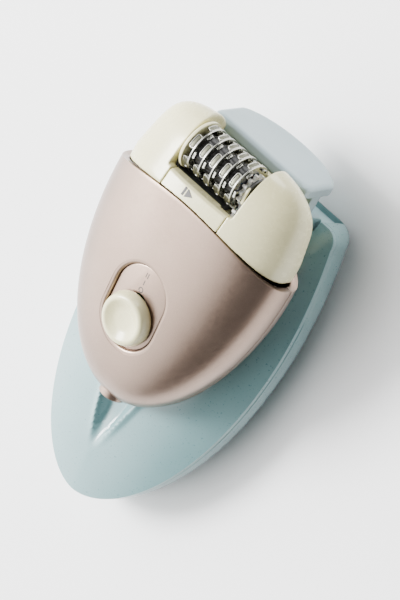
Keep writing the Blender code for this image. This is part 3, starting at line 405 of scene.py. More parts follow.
def cream_plastic():
    finish = Finish("cream_plastic", 0.26, 0.0, Coat_Weight=0.25, Coat_Roughness=0.12, IOR=1.5)
    drift = finish.noise(55, 4)
    fine = finish.noise(2400, 2)
    base = finish.ramp(drift, [(0.30, (0.600, 0.560, 0.315)), (0.70, (0.660, 0.620, 0.370))])
    shade = finish.ramp(fine, [(0.35, (0.93, 0.92, 0.88)), (0.6, (1, 1, 1))])
    finish.colour(finish.mix(0.25, base, shade, 'MULTIPLY'))
    finish.vary_roughness(finish.noise(420, 3), 0.22, 0.31)
    finish.bump(fine, 0.008 * MM, 0.35)
    return finish.material


def frosted_sleeve():
    """Pale teal translucent plastic with a frosted underside and a glossy face."""
    finish = Finish("frosted_sleeve", 0.30, 0.0, Coat_Weight=0.7, Coat_Roughness=0.10, IOR=1.49,
                    Transmission_Weight=0.18)
    drift = finish.noise(26, 4)
    speck = finish.noise(1500, 3)
    base = finish.ramp(drift, [(0.30, (0.150, 0.295, 0.308)), (0.72, (0.200, 0.355, 0.368))])
    dots = finish.ramp(speck, [(0.38, (0.95, 0.96, 0.96)), (0.60, (1.0, 1.0, 1.0))])
    finish.colour(finish.mix(0.5, base, dots, 'MULTIPLY'))
    finish.vary_roughness(speck, 0.26, 0.42)
    finish.bump(speck, 0.02 * MM, 0.35)
    return finish.material


def satin_cooler():
    finish = Finish("satin_cooler", 0.40, 0.15, Coat_Weight=0.15, Coat_Roughness=0.25)
    grain = finish.noise(1800, 3)
    base = finish.ramp(finish.noise(45, 3), [(0.3, (0.270, 0.355, 0.380)), (0.7, (0.320, 0.410, 0.435))])
    shade = finish.ramp(grain, [(0.35, (0.88, 0.89, 0.9)), (0.6, (1, 1, 1))])
    finish.colour(finish.mix(0.3, base, shade, 'MULTIPLY'))
    finish.vary_roughness(grain, 0.36, 0.46)
    finish.bump(grain, 0.012 * MM, 0.4)
    return finish.material


def gel_pack_film():
    finish = Finish("gel_pack_film", 0.28, 0.0, Coat_Weight=0.5, Coat_Roughness=0.15,
                    Transmission_Weight=0.15)
    base = finish.ramp(finish.noise(60, 5), [(0.3, (0.230, 0.385, 0.400)), (0.7, (0.300, 0.460, 0.475))])
    bubbles = finish.cells(420)
    shade = finish.ramp(bubbles["Distance"], [(0.05, (1, 1, 1)), (0.5, (0.8, 0.9, 0.95))])
    finish.colour(finish.mix(0.4, base, shade, 'MULTIPLY'))
    finish.bump(finish.noise(200, 4), 0.05 * MM, 0.4)
    return finish.material


def pressed_steel(name="pressed_steel", tint=(0.62, 0.62, 0.57), roughness=0.24, stretch=(1, 1, 8)):
    finish = Finish(name, roughness, 1.0)
    lines = finish.noise(1600, 4, stretch)
    cloud = finish.noise(240, 3)
    dark = tuple(0.80 * c for c in tint)
    base = finish.ramp(cloud, [(0.3, dark), (0.65, tint)])
    shade = finish.ramp(lines, [(0.35, (0.8, 0.8, 0.8)), (0.6, (1, 1, 1))])
    finish.colour(finish.mix(0.3, base, shade, 'MULTIPLY'))
    finish.vary_roughness(lines, roughness - 0.06, roughness + 0.10)
    finish.bump(lines, 0.006 * MM, 0.5)
    return finish.material


def bare_brass():
    finish = Finish("bare_brass", 0.30, 1.0)
    cloud = finish.noise(500, 4)
    finish.colour(finish.ramp(cloud, [(0.3, (0.62, 0.43, 0.17)), (0.7, (0.78, 0.60, 0.30))]))
    finish.vary_roughness(cloud, 0.24, 0.40)
    finish.bump(finish.noise(2500, 2), 0.006 * MM, 0.5)
    return finish.material


def moulded_black(name="moulded_black", tone=0.018):
    finish = Finish(name, 0.42)
    grain = finish.noise(2600, 3)
    stops = [(0.3, (tone, tone, tone)), (0.7, (tone * 2, tone * 2, tone * 1.9))]
    finish.colour(finish.ramp(finish.noise(300, 3), stops))
    finish.vary_roughness(grain, 0.34, 0.52)
    finish.bump(grain, 0.015 * MM, 0.5)
    return finish.material


def natural_nylon():
    finish = Finish("natural_nylon", 0.48, 0.0, Subsurface_Weight=0.08)
    grain = finish.noise(1400, 3)
    finish.colour(finish.ramp(finish.noise(160, 3), [(0.3, (0.70, 0.68, 0.61)), (0.7, (0.80, 0.78, 0.72))]))
    finish.vary_roughness(grain, 0.42, 0.56)
    finish.bump(grain, 0.012 * MM, 0.5)
    return finish.material


def solder_mask():
    finish = Finish("solder_mask", 0.38, 0.0, Coat_Weight=0.4)
    tracks = finish.node("ShaderNodeTexBrick")
    finish.link(finish.stretched((1, 1, 1)), tracks.inputs["Vector"])
    tracks.inputs["Scale"].default_value = 260
    tracks.inputs["Color1"].default_value = (0.030, 0.170, 0.070, 1)
    tracks.inputs["Color2"].default_value = (0.040, 0.210, 0.090, 1)
    tracks.inputs["Mortar"].default_value = (0.070, 0.330, 0.140, 1)
    finish.colour(tracks.outputs["Color"])
    finish.bump(tracks.outputs["Fac"], 0.03 * MM, 0.5)
    return finish.material


def soft_rubber():
    finish = Finish("soft_rubber", 0.75)
    grain = finish.noise(1800, 4)
    finish.colour(finish.ramp(grain, [(0.3, (0.045, 0.050, 0.055)), (0.7, (0.075, 0.082, 0.090))]))
    finish.bump(grain, 0.03 * MM, 0.6)
    return finish.material


def printed_ink():
    finish = Finish("printed_ink", 0.5)
    stops = [(0.3, (0.025, 0.022, 0.020)), (0.7, (0.045, 0.040, 0.038))]
    finish.colour(finish.ramp(finish.noise(3000, 2), stops))
    finish.bump(finish.noise(2500, 2), 0.004 * MM, 0.3)
    return finish.material


LACQUER, CREAM, SLEEVE = champagne_lacquer(), cream_plastic(), frosted_sleeve()
COOLER, GEL, STEEL = satin_cooler(), gel_pack_film(), pressed_steel()
BRIGHT_STEEL = pressed_steel("bright_steel", (0.46, 0.46, 0.41), 0.18)
# pad steel: a darker copy of the pressed steel for the recessed pad faces; its darkness is painted shade
SHADED_PAD_STEEL = pressed_steel("pad_steel_painted_shade", (0.13, 0.13, 0.095), 0.38)
BRASS, BLACK, NYLON = bare_brass(), moulded_black(), natural_nylon()
BOARD, RUBBER, INK = solder_mask(), soft_rubber(), printed_ink()
NODE_FINISH = {"shell": LACQUER, "cream": CREAM, "sleeve": SLEEVE, "cooler": COOLER, "gel": GEL,
               "steel": STEEL, "brass": BRASS, "black": BLACK, "nylon": NYLON, "board": BOARD,
               "rubber": RUBBER}


def finish_cad_nodes():
    for part in frame["record"]["subparts"]:
        node = frame["nodes"][part["node"]]
        node.data.materials.clear()
        node.data.materials.append(NODE_FINISH[part["material_slot"]])


def stands_for(piece, body, slot, *nodes):
    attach(piece, body)
    if nodes:
        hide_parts(*nodes)
    return piece


# ---- handset shells -----------------------------------------------------------------------------
def shell_skin(start, rows=96, columns=110):
    """Outside of one shell as an open grid, from the shoulder to the tip."""
    bm = bmesh.new()
    lift = GAP / 2 if start == 0 else -GAP / 2
    grid = []
    for r in range(rows):
        share = math.sin(r / rows * math.pi / 2)
        line = []
        for k in range(columns + 1):
            t = k / columns
            angle = start + math.pi * (t - 0.35 * math.sin(4 * math.pi * t) / (4 * math.pi))
            top = shoulder(angle)
            p = surface(angle, top + (TIP_Y - top) * share)
            line.append(bm.verts.new((p.x, p.y, p.z + lift)))
        grid.append(line)
    pole = bm.verts.new((0, TIP_Y, lift))
    for a, b in zip(grid, grid[1:]):
        for k in range(columns):
            bm.faces.new((a[k], a[k + 1], b[k + 1], b[k]))
    for k in range(columns):
        bm.faces.new((grid[-1][k], grid[-1][k + 1], pole))
    return bm


def thick_shell(name, start):
    bm = shell_skin(start)
    shell = new_piece(name, bm, LACQUER)
    middle = shell.data.polygons[len(shell.data.polygons) // 3]
    inward = middle.normal.dot(middle.center - Vector((0, -30 * MM, 0))) < 0
    if inward:
        shell.data.flip_normals()
    wall = shell.modifiers.new("wall", 'SOLIDIFY')
    wall.thickness = SHELL_WALL
    wall.offset = -1
    edge = shell.modifiers.new("edge", 'BEVEL')
    edge.limit_method = 'ANGLE'
    edge.angle_limit = math.radians(55)
    edge.width = 0.35 * MM
    edge.segments = 3
    return settle(shell)


def switch_axes():
    rise = body_front_depth(TRACK_Y + MM) - body_front_depth(TRACK_Y - MM)
    slope = math.atan2(rise, 2 * MM)
    return Matrix.Translation((0, TRACK_Y, body_front_depth(TRACK_Y))) @ Matrix.Rotation(slope, 4, 'X')


SWITCH = switch_axes()


def track_cutter():
    """Window of the switch track; its lip flares out so that the cut leaves a rounded edge."""
    lip = 1.1 * MM
    rings = []
    inverse = SWITCH.inverted()

    def level(p, q):
        height = 0.0
        for _ in range(3):
            spot = SWITCH @ Vector((p, q, height))
            height += (inverse @ Vector((spot.x, spot.y, face_height(spot.x, spot.y)))).z - height
        return height

    profile = [(0.0, None)] + [(lip * (1 - math.cos(a)), lip * math.sin(a) - lip)
                               for a in [i * math.pi / 2 / 7 for i in range(8)]] + [(lip * 1.4, 0.06 * MM)]
    for grow, rise in profile:
        outline = stadium(TRACK_RADIUS - 0.15 * MM + grow, TRACK_STRAIGHT)
        if rise is None:
            rings.append([(p, q, -7 * MM) for p, q in outline])
        else:
            rings.append([(p, q, level(p, q) + rise) for p, q in outline])
    rings.append([(p, q, 5 * MM) for p, q in stadium(TRACK_RADIUS + lip * 1.4, TRACK_STRAIGHT)])
    bm = loft(rings)
    bmesh.ops.transform(bm, matrix=SWITCH, verts=bm.verts)
    return bm


def socket_cutter():
    reach = SOCKET_RADIUS + GAP
    rings = turned_rings([(TIP_Y - 6 * MM, reach), (TIP_Y + SOCKET_LENGTH, reach)], 48, "Y")
    return loft(rings)


def finish_shells():
    front = thick_shell("handset_front", 0.0)
    carve(front, [track_cutter(), socket_cutter()])
    front.data.transform(HANDSET)
    stands_for(front, "handset", "shell", "front_shell")
    rear = thick_shell("handset_rear", math.pi)
    holes = [socket_cutter()]
    for node in ("screw_left", "screw_right", "screw_tip"):
        low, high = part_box(node)
        centre = HANDSET.inverted() @ ((Vector(low) + Vector(high)) / 2)
        radius = (high[0] - low[0]) / 2 + GAP
        holes.append(loft([[(centre.x + p, centre.y + q, z) for p, q in ring_points(r, 40)]
                           for z, r in ((-20 * MM, radius + 0.2 * MM), (-3 * MM, radius + 0.1 * MM))]))
    carve(rear, holes)
    rear.data.transform(HANDSET)
    stands_for(rear, "handset", "shell", "rear_shell")


# ---- head and cartridge -------------------------------------------------------------------------
def head_dome(rows=44, columns=150):
    bm = bmesh.new()
    rings = []
    for r in range(rows):
        share = math.sin(r / rows * math.pi / 2)
        ring = []
        for k in range(columns):
            angle = 2 * math.pi * (k + 0.5) / columns
            base = shoulder(angle, HEAD_HALF_WIDTH) + GAP
            ring.append(bm.verts.new(surface(angle, base + (HEAD_HEIGHT - base) * share, 0.0, HEAD_FORM)))
            behind = max(0.0, 7.0 * MM - ring[-1].co.z) / MM
            ring[-1].co.y -= 0.035 * MM * behind ** 2 * smooth((ring[-1].co.y - 8 * MM) / (14 * MM))
        rings.append(ring)
    pole = bm.verts.new((0, HEAD_HEIGHT, 2 * MM))
    for a, b in zip(rings, rings[1:]):
        for k in range(columns):
            bm.faces.new((a[k], a[(k + 1) % columns], b[(k + 1) % columns], b[k]))
    for k in range(columns):
        bm.faces.new((rings[-1][k], rings[-1][(k + 1) % columns], pole))
    bm.faces.new(rings[0])
    return bm


def finish_head():
    head = new_piece("head_cheeks", head_dome(), CREAM)
    reach = 40 * MM
    low, wide = OPENING_HALF_WIDTH, OPENING_HALF_WIDTH + 1.8 * MM
    back, front = OPENING_BACK_Z, 22 * MM
    bevel = HEAD_HEIGHT - 2.6 * MM
    flare = []
    for i in range(9):
        a = i / 8 * math.pi / 2
        flare.append((low + (wide - low) * (1 - math.cos(a)), bevel + (HEAD_HEIGHT - bevel) * math.sin(a)))
    right = [(low, BAR_HEIGHT)] + flare + [(wide, reach)]
    outline = right + [(-x, y) for x, y in reversed(right)]
    ledge = PLATE_TOP_Y - PLATE_HEIGHT + MM
    bar = BAR_HALF_WIDTH + GAP
    rear_step = PLATE_TOP_Y - PLATE_HEIGHT - 0.8 * MM
    cuts = [prism(outline, back, front),
            prism([(x, max(y, ledge)) for x, y in outline], -reach, back + MM),
            block((-bar, -9 * MM, BAR_BACK_Z - GAP), (bar, BAR_HEIGHT + MM, front)),
            block((-low, TROUGH_Y - GAP, back), (low, BAR_HEIGHT + MM, BAR_BACK_Z)),
            block((-reach, rear_step, -reach), (reach, reach, PLATE_FRONT_Z + 0.8 * MM)),
            block((8.0 * MM, -12 * MM, -2 * MM), (12.6 * MM, 12 * MM, 14 * MM))]
    carve(head, cuts)
    soften(head, 0.30 * MM, 5)
    head.data.transform(HANDSET)
    stands_for(head, "handset", "cream", "head_frame")


def finish_cartridge():
    """Front bar, trough, rear rail and end plates of the removable cartridge."""
    stations = 41
    rings = []
    for i in range(stations):
        x = BAR_HALF_WIDTH * (2 * i / (stations - 1) - 1)
        full = power_curve(abs(x) / HEAD_HALF_WIDTH, SECTION_POWER, 1 / SECTION_POWER)
        base = shoulder_dip(x) + GAP
        low, high = HEAD_FRONT_DEPTH * full, head_front_depth(BAR_HEIGHT) * full
        rings.append([(x, base, BAR_BACK_Z), (x, base, low), (x, BAR_HEIGHT - 0.9 * MM, high),
                      (x, BAR_HEIGHT - 0.3 * MM, high - 0.9 * MM), (x, BAR_HEIGHT, BAR_BACK_Z)])
    cartridge = new_piece("cartridge_bar", loft(rings), CREAM)
    half, back = OPENING_HALF_WIDTH - GAP, OPENING_BACK_Z + GAP
    parts = [block((-half, TROUGH_Y, back), (half, TROUGH_Y + TROUGH_THICKNESS, BAR_BACK_Z + 0.4 * MM)),
             block((-half + 0.1 * MM, TROUGH_Y + 0.5 * MM, back + 0.1 * MM),
                   (half - 0.1 * MM, DRUM_Y - 2 * MM, DRUM_Z - DISC_RADIUS - 1.4 * MM))]
    for side in (-1, 1):
        angles = [math.pi * i / 24 for i in range(25)]
        outline = [(DRUM_Y + 5 * MM * math.sin(a), DRUM_Z + 5 * MM * math.cos(a)) for a in angles]
        outline += [(TROUGH_Y + 0.3 * MM, back + 0.3 * MM), (TROUGH_Y + 0.3 * MM, BAR_BACK_Z - 0.5 * MM)]
        a, b = side * (half - 0.2 * MM), side * (half - 1.3 * MM)
        parts.append(prism(outline, min(a, b), max(a, b), "X"))
    carve(cartridge, parts, 'UNION')
    carve(cartridge, [block((7.7 * MM, -3 * MM, -1.6 * MM), (12.5 * MM, 8 * MM, 13.9 * MM))])
    soften(cartridge, 0.20 * MM, 4)
    # faces behind the bar's back (trough, rear rail and end plates) take the black finish: painted shade
    # inside the head's opening
    cartridge.data.materials.append(BLACK)
    for face in cartridge.data.polygons:
        if face.center.z < BAR_BACK_Z + 0.6 * MM and face.center.y > TROUGH_Y - 0.2 * MM:
            face.material_index = 1
    cartridge.data.transform(HANDSET)
    stands_for(cartridge, "cartridge", "cream", "cartridge_frame")


def release_arrow():
    """Small plain arrow moulded on the bar: a post and a wedge."""
    x, y = -2.2 * MM, 3.0 * MM
    tall = 1.4 * MM
    post = [(x - 2.1 * MM, y - tall), (x - 1.35 * MM, y - tall), (x - 1.35 * MM, y + tall),
            (x - 2.1 * MM, y + tall)]
    wedge = [(x - 0.8 * MM, y - tall), (x + 1.9 * MM, y), (x - 0.8 * MM, y + tall)]
    bm = bmesh.new()
    for outline in (post, wedge):
        top = [bm.verts.new((p, q, head_front_depth(q) + 0.02 * MM)) for p, q in outline]
        low = [bm.verts.new((p, q, head_front_depth(q) - 0.35 * MM)) for p, q in outline]
        bm.faces.new(top)
        bm.faces.new(list(reversed(low)))
        for i in range(len(outline)):
            j = (i + 1) % len(outline)
            bm.faces.new((top[j], top[i], low[i], low[j]))
    stands_for(new_piece("release_arrow", bm, INK, HANDSET), "cartridge", "black")


# ---- drum, made with Geometry Nodes -------------------------------------------------------------
class Tree:
    """A Geometry Nodes tree with named size inputs."""

    def __init__(self, name, sizes):
        self.group = bpy.data.node_groups.new(name, 'GeometryNodeTree')
        self.group.interface.new_socket("Geometry", in_out='OUTPUT', socket_type='NodeSocketGeometry')
        self.group.interface.new_socket("Geometry", in_out='INPUT', socket_type='NodeSocketGeometry')
        self.sizes = sizes
        for size, value in sizes.items():
            kind = 'NodeSocketInt' if isinstance(value, int) else 'NodeSocketFloat'
            self.group.interface.new_socket(size, in_out='INPUT', socket_type=kind)
        self.inputs = self.node("NodeGroupInput")
        self.outputs = self.node("NodeGroupOutput")

    def node(self, kind, **settings):
        made = self.group.nodes.new(kind)
        for name, value in settings.items():
            setattr(made, name, value)
        return made

    def link(self, a, b):
        self.group.links.new(a, b)

    def maths(self, operation, a, b):
        made = self.node("ShaderNodeMath", operation=operation)
        for socket, value in zip(made.inputs, (a, b)):
            if isinstance(value, (int, float)):
                socket.default_value = value
            else:
                self.link(value, socket)
        return made.outputs[0]

    def copies(self, piece, points, turn):
        made = self.node("GeometryNodeInstanceOnPoints")
        self.link(points, made.inputs["Points"])
        self.link(piece, made.inputs["Instance"])
        self.link(turn, made.inputs["Rotation"])
        return made.outputs["Instances"]

    def finish(self, geometry, material):
        real = self.node("GeometryNodeRealizeInstances")
        paint = self.node("GeometryNodeSetMaterial")
        paint.inputs["Material"].default_value = material
        self.link(geometry, real.inputs["Geometry"])
        self.link(real.outputs["Geometry"], paint.inputs["Geometry"])
        self.link(paint.outputs["Geometry"], self.outputs.inputs["Geometry"])

    def run(self, piece):
        """Puts the tree on a piece, with the tree's sizes on its sockets, and makes the result plain."""
        step = piece.modifiers.new("repeat", 'NODES')
        step.node_group = self.group
        for item in self.group.interface.items_tree:
            if item.in_out == 'INPUT' and item.name in self.sizes:
                step[item.identifier] = self.sizes[item.name]
        return settle(piece, 35)


def repeat_along_drum(unit, finish, around, phase, pairs, pitch, first, lean=0.03):
    """Copies a unit round the drum's axis, and that ring of copies along the drum."""
    tree = Tree("repeat_along_drum", {"Around": around, "Phase": phase, "Pairs": pairs, "Pitch": pitch,
                                      "First": first, "Lean": lean})
    out = tree.inputs.outputs
    spots = tree.node("GeometryNodeMeshLine", mode='OFFSET')
    tree.link(out["Around"], spots.inputs["Count"])
    spots.inputs["Offset"].default_value = (0, 0, 0)
    index = tree.node("GeometryNodeInputIndex").outputs[0]
    step = tree.maths('DIVIDE', tree.maths('MULTIPLY', index, 2 * math.pi), out["Around"])
    turn = tree.node("ShaderNodeCombineXYZ")
    tree.link(tree.maths('ADD', step, out["Phase"]), turn.inputs["X"])
    disc = tree.copies(out["Geometry"], spots.outputs["Mesh"], turn.outputs["Vector"])
    places = tree.node("GeometryNodeMeshLine", mode='OFFSET')
    start, offset = tree.node("ShaderNodeCombineXYZ"), tree.node("ShaderNodeCombineXYZ")
    tree.link(out["First"], start.inputs["X"])
    tree.link(out["Pitch"], offset.inputs["X"])
    tree.link(out["Pairs"], places.inputs["Count"])
    tree.link(start.outputs["Vector"], places.inputs["Start Location"])
    tree.link(offset.outputs["Vector"], places.inputs["Offset"])
    twist = tree.node("ShaderNodeCombineXYZ")
    tree.link(tree.maths('MULTIPLY', index, out["Lean"]), twist.inputs["X"])
    row = tree.copies(disc, places.outputs["Mesh"], twist.outputs["Vector"])
    tree.finish(row, finish)
    return tree.run(unit)


def bent_loops(width, length, loops, radius, corner, middle):
    """Rounded-rectangle loops, each (inset, height), bent round the drum's axis; length runs round it."""
    rings = []
    for inset, height in loops:
        half_w, half_l = width / 2 - inset, length / 2 - inset
        r = max(0.05 * MM, min(corner - inset * 0.6, half_w, half_l))
        ring = []
        for cx, cl, a0 in ((half_w - r, half_l - r, 0), (-half_w + r, half_l - r, 90),
                           (-half_w + r, -half_l + r, 180), (half_w - r, -half_l + r, 270)):
            for i in range(5):
                a = math.radians(a0 + 90 * i / 4)
                ring.append((cx + r * math.cos(a), cl + r * math.sin(a)))
            if a0 in (0, 180):
                sign = 1 if a0 == 0 else -1
                ring.append((0.0, sign * half_l))
            else:
                sign = -1 if a0 == 90 else 1
                for i in range(1, 8):
                    ring.append((sign * half_w, (half_l - r) * sign * (1 - 2 * i / 8)))
        reach = radius + height
        rings.append([(middle + v, reach * math.cos(u / radius), reach * math.sin(u / radius))
                      for v, u in ring])
    return rings


def joined(name, pieces):
    """One mesh object from several, with each piece's material kept."""
    bm = bmesh.new()
    materials = []
    for piece in pieces:
        start = len(bm.faces)
        bm.from_mesh(piece.data)
        bm.faces.ensure_lookup_table()
        slots = []
        for material in piece.data.materials:
            if material not in materials:
                materials.append(material)
            slots.append(materials.index(material))
        for face in bm.faces[start:]:
            face.material_index = slots[min(face.material_index, len(slots) - 1)]
        bpy.data.objects.remove(piece, do_unlink=True)
    mesh = bpy.data.meshes.new(name)
    bm.to_mesh(mesh)
    bm.free()
    for material in materials:
        mesh.materials.append(material)
    item = bpy.data.objects.new(name, mesh)
    bpy.context.scene.collection.objects.link(item)
    return item


def tweezer_pack(pairs, pitch, first):
    """Thin bright discs with framed pads on their left and short hooked tabs on their right."""
    rim = DISC_RADIUS - 0.1 * MM
    facing = math.radians(64)
    half, inner = 0.28 * MM, 5.7 * MM
    profile = fillet([(-half, inner), (-half, rim), (half, rim), (half, inner)], 0.2 * MM)
    disc = new_piece("disc", loft(turned_rings(profile, 120, "X"), cap=False), BRIGHT_STEEL)
    frame_loops = [(0.0, -0.9 * MM), (0.0, -0.16 * MM), (0.1 * MM, 0.0), (0.26 * MM, 0.0),
                   (0.36 * MM, -0.14 * MM), (0.36 * MM, -0.9 * MM)]
    width, length, middle = 2.1 * MM, 5.2 * MM, -1.2 * MM
    frame_bm = loft(bent_loops(width, length, frame_loops, rim, 0.8 * MM, middle), cap=False)
    pad_frame = new_piece("pad_frame", frame_bm, BRIGHT_STEEL)
    # the pad faces take the darker steel: painted shade in their recess inside the frame
    face_loops = [(0.37 * MM, -0.8 * MM), (0.37 * MM, -0.22 * MM), (0.5 * MM, -0.14 * MM),
                  (0.8 * MM, -0.12 * MM), (1.0 * MM, -0.12 * MM)]
    face_bm = loft(bent_loops(width, length, face_loops, rim, 0.8 * MM, middle))
    pad_face = new_piece("pad_face", face_bm, SHADED_PAD_STEEL)
    tab_loops = [(0.0, -1.5 * MM), (0.0, -0.75 * MM), (0.12 * MM, -0.6 * MM), (0.4 * MM, -0.58 * MM)]
    tab_bm = loft(bent_loops(1.1 * MM, 2.6 * MM, tab_loops, rim, 0.45 * MM, 0.85 * MM))
    tab = new_piece("tab", tab_bm, BRIGHT_STEEL)
    pieces = [repeat_along_drum(disc, BRIGHT_STEEL, 1, 0.0, pairs, pitch, first),
              repeat_along_drum(pad_frame, BRIGHT_STEEL, 6, facing, pairs, pitch, first),
              repeat_along_drum(pad_face, SHADED_PAD_STEEL, 6, facing, pairs, pitch, first),
              repeat_along_drum(tab, BRIGHT_STEEL, 6, facing + math.pi / 6, pairs, pitch, first)]
    return joined("tweezer_discs", pieces)


def finish_drum():
    drum = HANDSET @ Matrix.Translation((0, DRUM_Y, DRUM_Z))
    discs = [f"tweezer_disc_{i:02d}" for i in range(1, 11)]
    rings = []
    for i in range(1, 6):
        low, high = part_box(f"tweezer_disc_{2 * i:02d}")
        rings.append((low[0] + high[0]) / 2)
    pitch = (rings[-1] - rings[0]) / 4
    pack = tweezer_pack(5, pitch, rings[0])
    pack.data.transform(drum)
    stands_for(pack, "drum", "steel", *discs)

    low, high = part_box("drum_collar")
    left, right, radius = low[0], high[0], (high[2] - low[2]) / 2
    bore = 1.6 * MM
    profile = fillet([(left, bore), (left, radius - 0.5 * MM), (left + 0.4 * MM, radius), (right, radius),
                      (right, 6.6 * MM), (right - 0.5 * MM, 6.4 * MM), (right - 0.5 * MM, bore)], 0.18 * MM)
    collar = new_piece("drum_end_collar", loft(turned_rings(profile, 96, "X"), cap=False), CREAM, drum)
    stands_for(collar, "drum", "cream", "drum_collar")

    low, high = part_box("drum_core")
    count, waves = 120, []
    stations = 60
    for s in range(stations + 1):
        x = low[0] + (high[0] - low[0]) * s / stations
        groove = 0.35 * MM * (0.5 - 0.5 * math.cos(2 * math.pi * (x - rings[0]) / pitch))
        ring = []
        for i in range(count):
            a = 2 * math.pi * i / count
            flute = 0.25 * MM * max(0.0, math.cos(12 * a)) ** 2
            r = CORE_RADIUS - 0.05 * MM - groove - flute
            ring.append((x, r * math.cos(a), r * math.sin(a)))
        waves.append(ring)
    bore = 1.5 * MM
    start = [(low[0], bore * math.cos(2 * math.pi * i / count), bore * math.sin(2 * math.pi * i / count))
             for i in range(count)]
    end = [(high[0], y, z) for _, y, z in start]
    core = new_piece("drum_black_core", loft([start] + waves + [end], cap=False), BLACK, drum)
    stands_for(core, "drum", "black", "drum_core")


# ---- switch -------------------------------------------------------------------------------------
START = -(TRACK_STRAIGHT / 2 - (TRACK_RADIUS - GAP - KNOB_RADIUS) / 2)


def finish_switch():
    place = HANDSET @ SWITCH
    floor = -TRACK_DEPTH
    rings = []
    for z, inset in ((floor - TRACK_FLOOR, 0.0), (floor - 0.35 * MM, 0.0), (floor - 0.1 * MM, 0.08 * MM),
                     (floor, 0.35 * MM)):
        rings.append([(p, q, z) for p, q in stadium(TRACK_RADIUS - GAP - inset, TRACK_STRAIGHT)])
    track = new_piece("switch_floor", loft(rings), LACQUER)
    middle = START + SWITCH_TRAVEL / 2
    slot = [(x, y + middle) for x, y in stadium(NECK_RADIUS + GAP, SWITCH_TRAVEL + 2 * GAP)]
    carve(track, [prism(slot, -9 * MM, 2 * MM)])
    track.data.transform(place)
    stands_for(track, "handset", "shell", "switch_track")

    base, top = floor + GAP, floor + GAP + KNOB_HEIGHT
    corners = [(floor - TRACK_FLOOR - 1.8 * MM, NECK_RADIUS), (base, NECK_RADIUS),
               (base, KNOB_RADIUS - 0.3 * MM),
               (base + 0.7 * MM, KNOB_RADIUS), (top - 2.4 * MM, KNOB_RADIUS - 0.25 * MM),
               (top - 0.4 * MM, KNOB_RADIUS - 1.0 * MM), (top, KNOB_RADIUS - 2.2 * MM),
               (top - 0.75 * MM, KNOB_RADIUS - 3.6 * MM), (top - 1.5 * MM, KNOB_RADIUS * 0.40),
               (top - 1.75 * MM, 0.4 * MM)]
    profile = fillet(corners, 1.1 * MM, 6)
    knob = new_piece("switch_knob", loft(turned_rings(profile, 96)), CREAM, smooth_below=50)
    knob.data.transform(place @ Matrix.Translation((0, START, 0)))
    stands_for(knob, "switch", "cream", "switch_button")
    switch_marks(place)


def stroke_ring(bm, centre, radius, width, low, high, count=32):
    rings = []
    for z, r in ((low, radius - width), (high, radius - width), (high, radius), (low, radius)):
        rings.append([bm.verts.new((centre[0] + p, centre[1] + q, z)) for p, q in ring_points(r, count)])
    for a, b in zip(rings, rings[1:] + rings[:1]):
        for i in range(count):
            bm.faces.new((a[i], a[(i + 1) % count], b[(i + 1) % count], b[i]))


def switch_marks(place):
    """Generic dial marks beside the knob's path: O, I and II."""
    bm = bmesh.new()
    low, high = -TRACK_DEPTH - 0.1 * MM, -TRACK_DEPTH + 0.03 * MM
    first = -33.4 * MM - TRACK_Y
    stroke_ring(bm, (-0.9 * MM, first), 0.95 * MM, 0.3 * MM, low, high)
    for row, bars in ((1, (0.0,)), (2, (-0.4 * MM, 0.4 * MM))):
        y = first + row * 2.8 * MM
        for shift in bars:
            x = -0.9 * MM + shift
            size = Matrix.Diagonal((0.3 * MM, 1.8 * MM, high - low, 1))
            bmesh.ops.create_cube(bm, size=1.0, matrix=Matrix.Translation((x, y, (low + high) / 2)) @ size)
    stands_for(new_piece("switch_marks", bm, INK, place), "handset", "black")


# ---- screws, socket and pins --------------------------------------------------------------------
def finish_screws():
    for node in ("screw_left", "screw_right", "screw_tip"):
        low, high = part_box(node)
        centre = HANDSET.inverted() @ ((Vector(low) + Vector(high)) / 2)
        radius = (high[0] - low[0]) / 2
        depth = -6.4 * MM
        seat, thread = depth + 1.1 * MM, 1.0 * MM
        profile = fillet([(depth, 0.3 * MM), (depth, radius), (seat, radius), (seat, thread),
                          (4.8 * MM, thread)], 0.3 * MM)
        screw = new_piece("housing_" + node, loft(turned_rings(profile, 48)), STEEL)
        cross = [block((-1.3 * MM, -0.3 * MM, depth - MM), (1.3 * MM, 0.3 * MM, depth + 0.7 * MM)),
                 block((-0.3 * MM, -1.3 * MM, depth - MM), (0.3 * MM, 1.3 * MM, depth + 0.7 * MM))]
        carve(screw, cross)
        screw.data.transform(HANDSET @ Matrix.Translation((centre.x, centre.y, 0)))
        stands_for(screw, "handset", "steel", node)


def finish_socket():
    mouth, floor = TIP_Y - 0.6 * MM, TIP_Y + SOCKET_LENGTH - 3.5 * MM
    end = TIP_Y + SOCKET_LENGTH - 0.5 * MM
    corners = [(floor, 0.2 * MM), (floor, SOCKET_BORE), (mouth, SOCKET_BORE), (mouth, SOCKET_RADIUS),
               (end, SOCKET_RADIUS), (end, 0.2 * MM)]
    barrel = new_piece("power_socket", loft(turned_rings(fillet(corners, 0.3 * MM), 64, "Y")), BLACK)
    barrel.data.materials.append(LACQUER)
    for face in barrel.data.polygons:
        if math.hypot(face.center.x, face.center.z) > SOCKET_BORE + 0.15 * MM:
            face.material_index = 1
    barrel.data.transform(HANDSET)
    stands_for(barrel, "handset", "black", "power_inlet")


# ---- cooler -------------------------------------------------------------------------------------
SLEEVE_TOP_HALF_WIDTH, SLEEVE_WIDEST, CORNER = 28.0 * MM, 74.0 * MM, 5.0 * MM
SLEEVE_WALL, SLEEVE_CROWN = 1.8 * MM, 10.0 * MM
MOUTH_HALF_WIDTH, MOUTH_DEPTH = 21.6 * MM, 7.0 * MM


